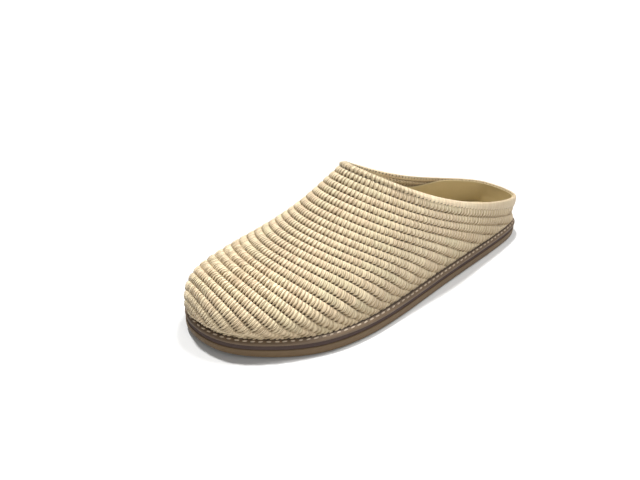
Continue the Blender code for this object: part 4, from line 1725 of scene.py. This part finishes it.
@dataclass(frozen=True)
class RaffiaFinish:
    """Dry, faintly glossy raffia in cream, blush and straw."""

    name: str
    cream: Colour = (0.86, 0.72, 0.48)
    blush: Colour = (0.785, 0.622, 0.415)
    straw: Colour = (0.77, 0.665, 0.435)
    # shade: colour of the painted shade; hollow: colour of the painted shadow in the holes
    shade: Colour = (0.34, 0.247, 0.137)
    hollow: Colour = (0.08, 0.054, 0.028)
    # strands per wrap; valley widens the painted valley shade; the pit values place and size the painted
    # shadow in the holes
    strands: float = 2.0
    valley: float = 0.0
    pit_phase: float = 0.25
    pit_width: float = 0.58
    pit_height: float = 0.17
    pit_floor: float = 0.0
    roughness: float = 0.5
    specular: float = 0.35
    sheen: float = 0.12
    sheen_roughness: float = 0.5
    strand_bump: float = 0.9
    strand_depth: float = 0.0004
    # painted shade along the sole and at the back of the heel, with heights and places in metres
    foot_shade: float = 0.5
    foot_heights: Span = (0.026, 0.0105)
    heel_shade: float = 0.6
    heel_x: Span = (-0.01, -0.085)

    def make(self, groups: Groups) -> bpy.types.Material:
        """Material on the weave coordinates.

        Args:
            groups: The shared node groups.

        Returns:
            The material.
        """
        material, g, shader = new_material(self.name)
        wraps = g.add("Group", {
            "Weave": g.out(g.add("UVMap", uv_map="weave"), "UV"),
            "Open": g.out(g.add("Attribute", attribute_name="open_share"), "Fac"),
            "Strands": self.strands, "Valley": self.valley, "Pit Phase": self.pit_phase,
            "Pit Width": self.pit_width, "Pit Height": self.pit_height, "Pit Floor": self.pit_floor,
            "Cream": self.cream, "Blush": self.blush, "Straw": self.straw, "Shade": self.shade,
            "Hollow": self.hollow,
        }, node_tree=groups.wraps)
        bump = g.add("Bump", {"Strength": self.strand_bump, "Distance": self.strand_depth,
                              "Height": g.out(wraps, "Height")})
        x, _, z = g.split(g.out(g.add("TexCoord"), "Object"))
        # painted shade: darker low down by the welt and towards the back of the heel
        foot = g.ease(z, *self.foot_heights) * self.foot_shade
        heel = g.ease(x, *self.heel_x) * self.heel_shade
        painted_shade = g.math("MAXIMUM", foot, heel)
        g.feed(shader.inputs["Base Color"], g.mix(painted_shade, g.out(wraps, "Color"), self.shade))
        g.feed(shader.inputs["Normal"], g.out(bump, "Normal"))
        shader.inputs["Roughness"].default_value = self.roughness
        shader.inputs["Specular IOR Level"].default_value = self.specular
        shader.inputs["Sheen Weight"].default_value = self.sheen
        shader.inputs["Sheen Roughness"].default_value = self.sheen_roughness
        return material


@dataclass(frozen=True)
class GrainFinish:
    """Leather, rubber or board: a base colour clouded by a second one, with pores and rubbing."""

    name: str
    base: Colour
    cloud: Colour
    rub: Colour
    roughness: float
    size: float = 1400.0
    cloud_share: float = 0.6
    cloud_range: Span = (0.3, 0.7)
    rub_share: float = 0.25
    uneven_roughness: float = 0.12
    bump: float = 0.8
    depth: float = 0.00008
    specular: float = 0.35

    def make(self, groups: Groups) -> bpy.types.Material:
        """Material on Object coordinates.

        Args:
            groups: The shared node groups.

        Returns:
            The material.
        """
        material, g, shader = new_material(self.name)
        place = g.out(g.add("TexCoord"), "Object")
        grain = g.add("Group", {"Vector": place, "Size": self.size}, node_tree=groups.grain)
        clouds = g.out(grain, "Clouds")
        colour = g.mix(g.ease(clouds, *self.cloud_range) * self.cloud_share, self.base, self.cloud)
        colour = g.mix(g.out(grain, "Rubbed") * self.rub_share, colour, self.rub)
        bump = g.add("Bump", {"Strength": self.bump, "Distance": self.depth,
                              "Height": g.out(grain, "Pores")})
        smoothest = self.roughness - self.uneven_roughness / 2
        g.feed(shader.inputs["Base Color"], colour)
        g.feed(shader.inputs["Roughness"], smoothest + clouds * self.uneven_roughness)
        g.feed(shader.inputs["Normal"], g.out(bump, "Normal"))
        shader.inputs["Specular IOR Level"].default_value = self.specular
        return material


# ------------------------------------------------------------------ studio
@dataclass
class Studio:
    """Pale floor, soft overhead light and the camera."""

    floor_size: float = 60.0
    floor_colour: Colour = (0.66, 0.66, 0.655)
    floor_roughness: float = 0.9
    floor_specular: float = 0.1
    world_strength: float = 0.4
    fill_from: Place = (0.0, 1.6, 0.4)
    fill_size: float = 0.6
    fill_power: float = 7.0
    # lamp, where it shines from, strength, spread
    lamps: tuple[tuple[str, Place, float, float], ...] = (
        ("overhead_light", (0.0, -0.285, 1.1), 3.15, 0.07),
        ("rear_light", (-0.38, -0.04, 1.1), 1.65, 0.2),
    )
    camera_place: Place = (0.21260, 0.20510, 0.18170)
    azimuth: float = 0.90318
    elevation: float = 0.50427
    roll: float = 0.03190
    lens: float = 28.697
    sensor: float = 36.0
    clip: Span = (0.01, 50.0)

    def build(self) -> None:
        """Set floor, lights, world and camera."""
        self.lay_floor()
        self.hang_light()
        world = bpy.data.worlds.new("studio")
        world.use_nodes = True
        back = world.node_tree.nodes["Background"]
        back.inputs["Color"].default_value = (1.0, 1.0, 1.0, 1.0)
        back.inputs["Strength"].default_value = self.world_strength
        bpy.context.scene.world = world
        bpy.context.scene.view_settings.view_transform = "Standard"
        self.set_camera()

    def lay_floor(self) -> None:
        """Plain pale floor under the shoe."""
        half = self.floor_size / 2
        mesh = bpy.data.meshes.new("floor")
        mesh.from_pydata([(-half, -half, 0), (half, -half, 0), (half, half, 0), (-half, half, 0)],
                         [], [(0, 1, 2, 3)])
        floor = bpy.data.objects.new("floor", mesh)
        bpy.context.scene.collection.objects.link(floor)
        material, _, shader = new_material("floor")
        shader.inputs["Base Color"].default_value = (*self.floor_colour, 1.0)
        shader.inputs["Roughness"].default_value = self.floor_roughness
        shader.inputs["Specular IOR Level"].default_value = self.floor_specular
        mesh.materials.append(material)

    def hang_light(self) -> None:
        """Two overhead lamps, from the inner side and from behind, and a low fill on the outer side."""
        for name, place, strength, spread in self.lamps:
            data = bpy.data.lights.new(name, "SUN")
            data.energy = strength
            data.angle = spread
            self.aim(data, place)
        data = bpy.data.lights.new("soft_box", "AREA")
        data.size = self.fill_size
        data.energy = self.fill_power
        self.aim(data, self.fill_from)

    def aim(self, data: bpy.types.Light, place: Place) -> None:
        """Hang a lamp and turn it towards the middle of the shoe's foot.

        Args:
            data: The lamp.
            place: Where it hangs, in metres.
        """
        lamp = bpy.data.objects.new(data.name, data)
        bpy.context.scene.collection.objects.link(lamp)
        lamp.location = place
        lamp.rotation_mode = "QUATERNION"
        lamp.rotation_quaternion = (-Vector(place)).to_track_quat("-Z", "Y")

    def set_camera(self) -> None:
        """Camera turned by azimuth and elevation, then rolled about its own axis."""
        a, e, r = self.azimuth, self.elevation, self.roll
        ahead = np.array([-np.cos(a) * np.cos(e), -np.sin(a) * np.cos(e), -np.sin(e)])
        right = unit(np.cross(ahead, [0.0, 0.0, 1.0]))
        up = np.cross(right, ahead)
        across = np.cos(r) * right + np.sin(r) * up
        upright = -np.sin(r) * right + np.cos(r) * up
        data = bpy.data.cameras.new("camera")
        data.lens = self.lens
        data.sensor_width = self.sensor
        data.clip_start, data.clip_end = self.clip
        camera = bpy.data.objects.new("camera", data)
        bpy.context.scene.collection.objects.link(camera)
        turn = Matrix([[float(across[i]), float(upright[i]), float(-ahead[i])] for i in range(3)])
        camera.matrix_world = Matrix.Translation(self.camera_place) @ turn.to_4x4()
        bpy.context.scene.camera = camera


# ------------------------------------------------------------------ the shoe
@dataclass
class RaffiaMule:
    """The whole shoe, built sub-assembly by sub-assembly.

    Each layer of the sole has a table: inset from the sole's outline, height above the floor.
    """

    last: Last = field(default_factory=Last)
    quarter_rows: range = range(1, 7)
    vamp_rows: range = range(7, 17)
    outsole: Table = ((1.1, 0.0), (0.6, 0.08), (0.25, 0.35), (0.05, 0.85), (0.0, 1.6), (0.0, 3.9),
                      (0.08, 4.5), (0.25, 4.85), (0.55, 5.0))
    midsole: Table = ((0.75, 5.05), (0.62, 5.25), (0.6, 6.3), (0.62, 7.35), (0.75, 7.55))
    welt: Table = ((13.0, 7.6), (0.7, 7.6), (0.3, 7.68), (0.08, 7.9), (0.02, 8.25), (0.14, 8.75),
                   (0.42, 9.15), (0.9, 9.52), (1.5, 9.82), (2.1, 10.04), (2.8, 10.15), (4.0, 10.2),
                   (13.0, 10.2))
    waist_rise: float = 1.2

    def build(self, groups: Groups) -> None:
        """Build the upper, the inside and the sole.

        Args:
            groups: The shared node groups.
        """
        plan = RowPlan(self.last)
        self.build_upper(plan, groups)
        self.build_inside(plan, groups)
        self.build_sole(groups)

    def build_upper(self, plan: RowPlan, groups: Groups) -> None:
        """Rows, rim and ground of the upper.

        Args:
            plan: Lay of the rows.
            groups: The shared node groups.
        """
        raffia = RaffiaFinish("raffia").make(groups)
        rows = RaffiaSheet(plan)
        quarter = rows.build("raffia_quarter_rows", self.quarter_rows, raffia)
        rows.build("raffia_vamp_rows", self.vamp_rows, raffia)
        # toe: one strand per wrap, wider valleys of painted shade, painted hole shadows at the wrap
        # boundaries
        toe = RaffiaFinish("raffia_toe", pit_phase=0.0, pit_width=0.5, strands=1.0,
                           valley=0.14).make(groups)
        toe_rows = RaffiaSheet(plan, crest_open=0.1, pit_phase=0.0, pit_width=0.5, wrap_height=0.8,
                               ridge_bead=0.85, upper_drop=(0.45, 0.12), lower_drop=(0.65, 0.15))
        toe_rows.build("raffia_toe_rows", range(self.vamp_rows.stop, plan.count), toe)
        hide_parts("upper")
        # rim: holes of painted shadow at full depth, even where the weave is tight
        rim = RaffiaFinish("raffia_rim", pit_phase=0.0, pit_width=0.44, pit_height=0.085,
                           pit_floor=1.0).make(groups)
        RimBinding(plan).build(rim)
        # cords behind the rows: raffia coloured dark, painted shade seen through the holes
        ground = GrainFinish("raffia_ground", (0.1, 0.068, 0.036), (0.075, 0.05, 0.027),
                             (0.16, 0.11, 0.06), roughness=0.85).make(groups)
        Backing(plan).build(ground)

    def build_inside(self, plan: RowPlan, groups: Groups) -> None:
        """Raffia inside the vamp, in a raw tone darkened with painted shade; lining and footbed.

        Args:
            plan: Lay of the rows.
            groups: The shared node groups.
        """
        # inside raffia: a darker, browner copy of the raffia finish, partly its raw tone and partly
        # painted shade
        raw_shaded_raffia = RaffiaFinish("raffia_inside", cream=(0.47, 0.365, 0.22), blush=(0.41, 0.31, 0.185),
                           straw=(0.38, 0.31, 0.18), shade=(0.17, 0.115, 0.055)).make(groups)
        inner = RaffiaSheet(plan, across=(0.0, 0.12, 0.35, 0.65, 0.88, 1.0), along=(0.0, 0.25, 0.75),
                            offset=-2.5, inward=True, crest_open=0.0, ridge_drop=1.0, pit=0.1,
                            wrap_height=0.2, upper_drop=(0.4, 0.2), lower_drop=(0.55, 0.2), seed=77)
        inner.build("raffia_inner_rows", range(0, plan.count), raw_shaded_raffia)
        leather = GrainFinish("lining_leather", (0.5, 0.4, 0.215), (0.46, 0.367, 0.197),
                              (0.55, 0.44, 0.245), roughness=0.5, size=1900.0,
                              depth=0.00004).make(groups)
        Lining(plan).build(leather)
        footbed = bpy.data.objects["insole"]
        footbed.data.materials.clear()
        footbed.data.materials.append(leather)

    def build_sole(self, groups: Groups) -> None:
        """Outsole, midsole band, welt, painted shadow strip at the feather and stitching.

        Args:
            groups: The shared node groups.
        """
        gum = GrainFinish("gum_rubber", (0.146, 0.094, 0.046), (0.122, 0.077, 0.040),
                          (0.19, 0.13, 0.075), roughness=0.62, size=900.0).make(groups)
        band = GrainFinish("dark_band", (0.074, 0.051, 0.045), (0.06, 0.042, 0.038),
                           (0.1, 0.075, 0.064), roughness=0.75, specular=0.12).make(groups)
        edge = GrainFinish("welt_leather", (0.14, 0.094, 0.056), (0.115, 0.078, 0.05),
                           (0.19, 0.135, 0.09), roughness=0.52, size=1500.0).make(groups)
        thread = GrainFinish("thread", (0.46, 0.37, 0.275), (0.39, 0.315, 0.23), (0.54, 0.46, 0.36),
                             roughness=0.7, size=5000.0, depth=0.0001).make(groups)
        # dark strip of painted shadow between the raffia's foot and the welt
        feather_shadow_paint = GrainFinish("feather_shadow_paint", (0.06, 0.04, 0.025), (0.045, 0.03, 0.02), (0.1, 0.07, 0.05),
                           roughness=0.75).make(groups)
        SoleLayer(self.last, "outsole", self.outsole, waist_rise=self.waist_rise).build(gum)
        SoleLayer(self.last, "midsole", self.midsole).build(band)
        SoleLayer(self.last, "welt", self.welt, hollow=True).build(edge)
        WeltStitching(self.last).build(thread)
        PaintedFeatherShadow(self.last).build(feather_shadow_paint)


def main() -> None:
    """Load the frame and build the shoe and the studio."""
    logging.basicConfig(level=logging.INFO, format="%(name)s %(message)s")
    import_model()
    RaffiaMule().build(Groups())
    Studio().build()


if __name__ == "__main__":
    main()
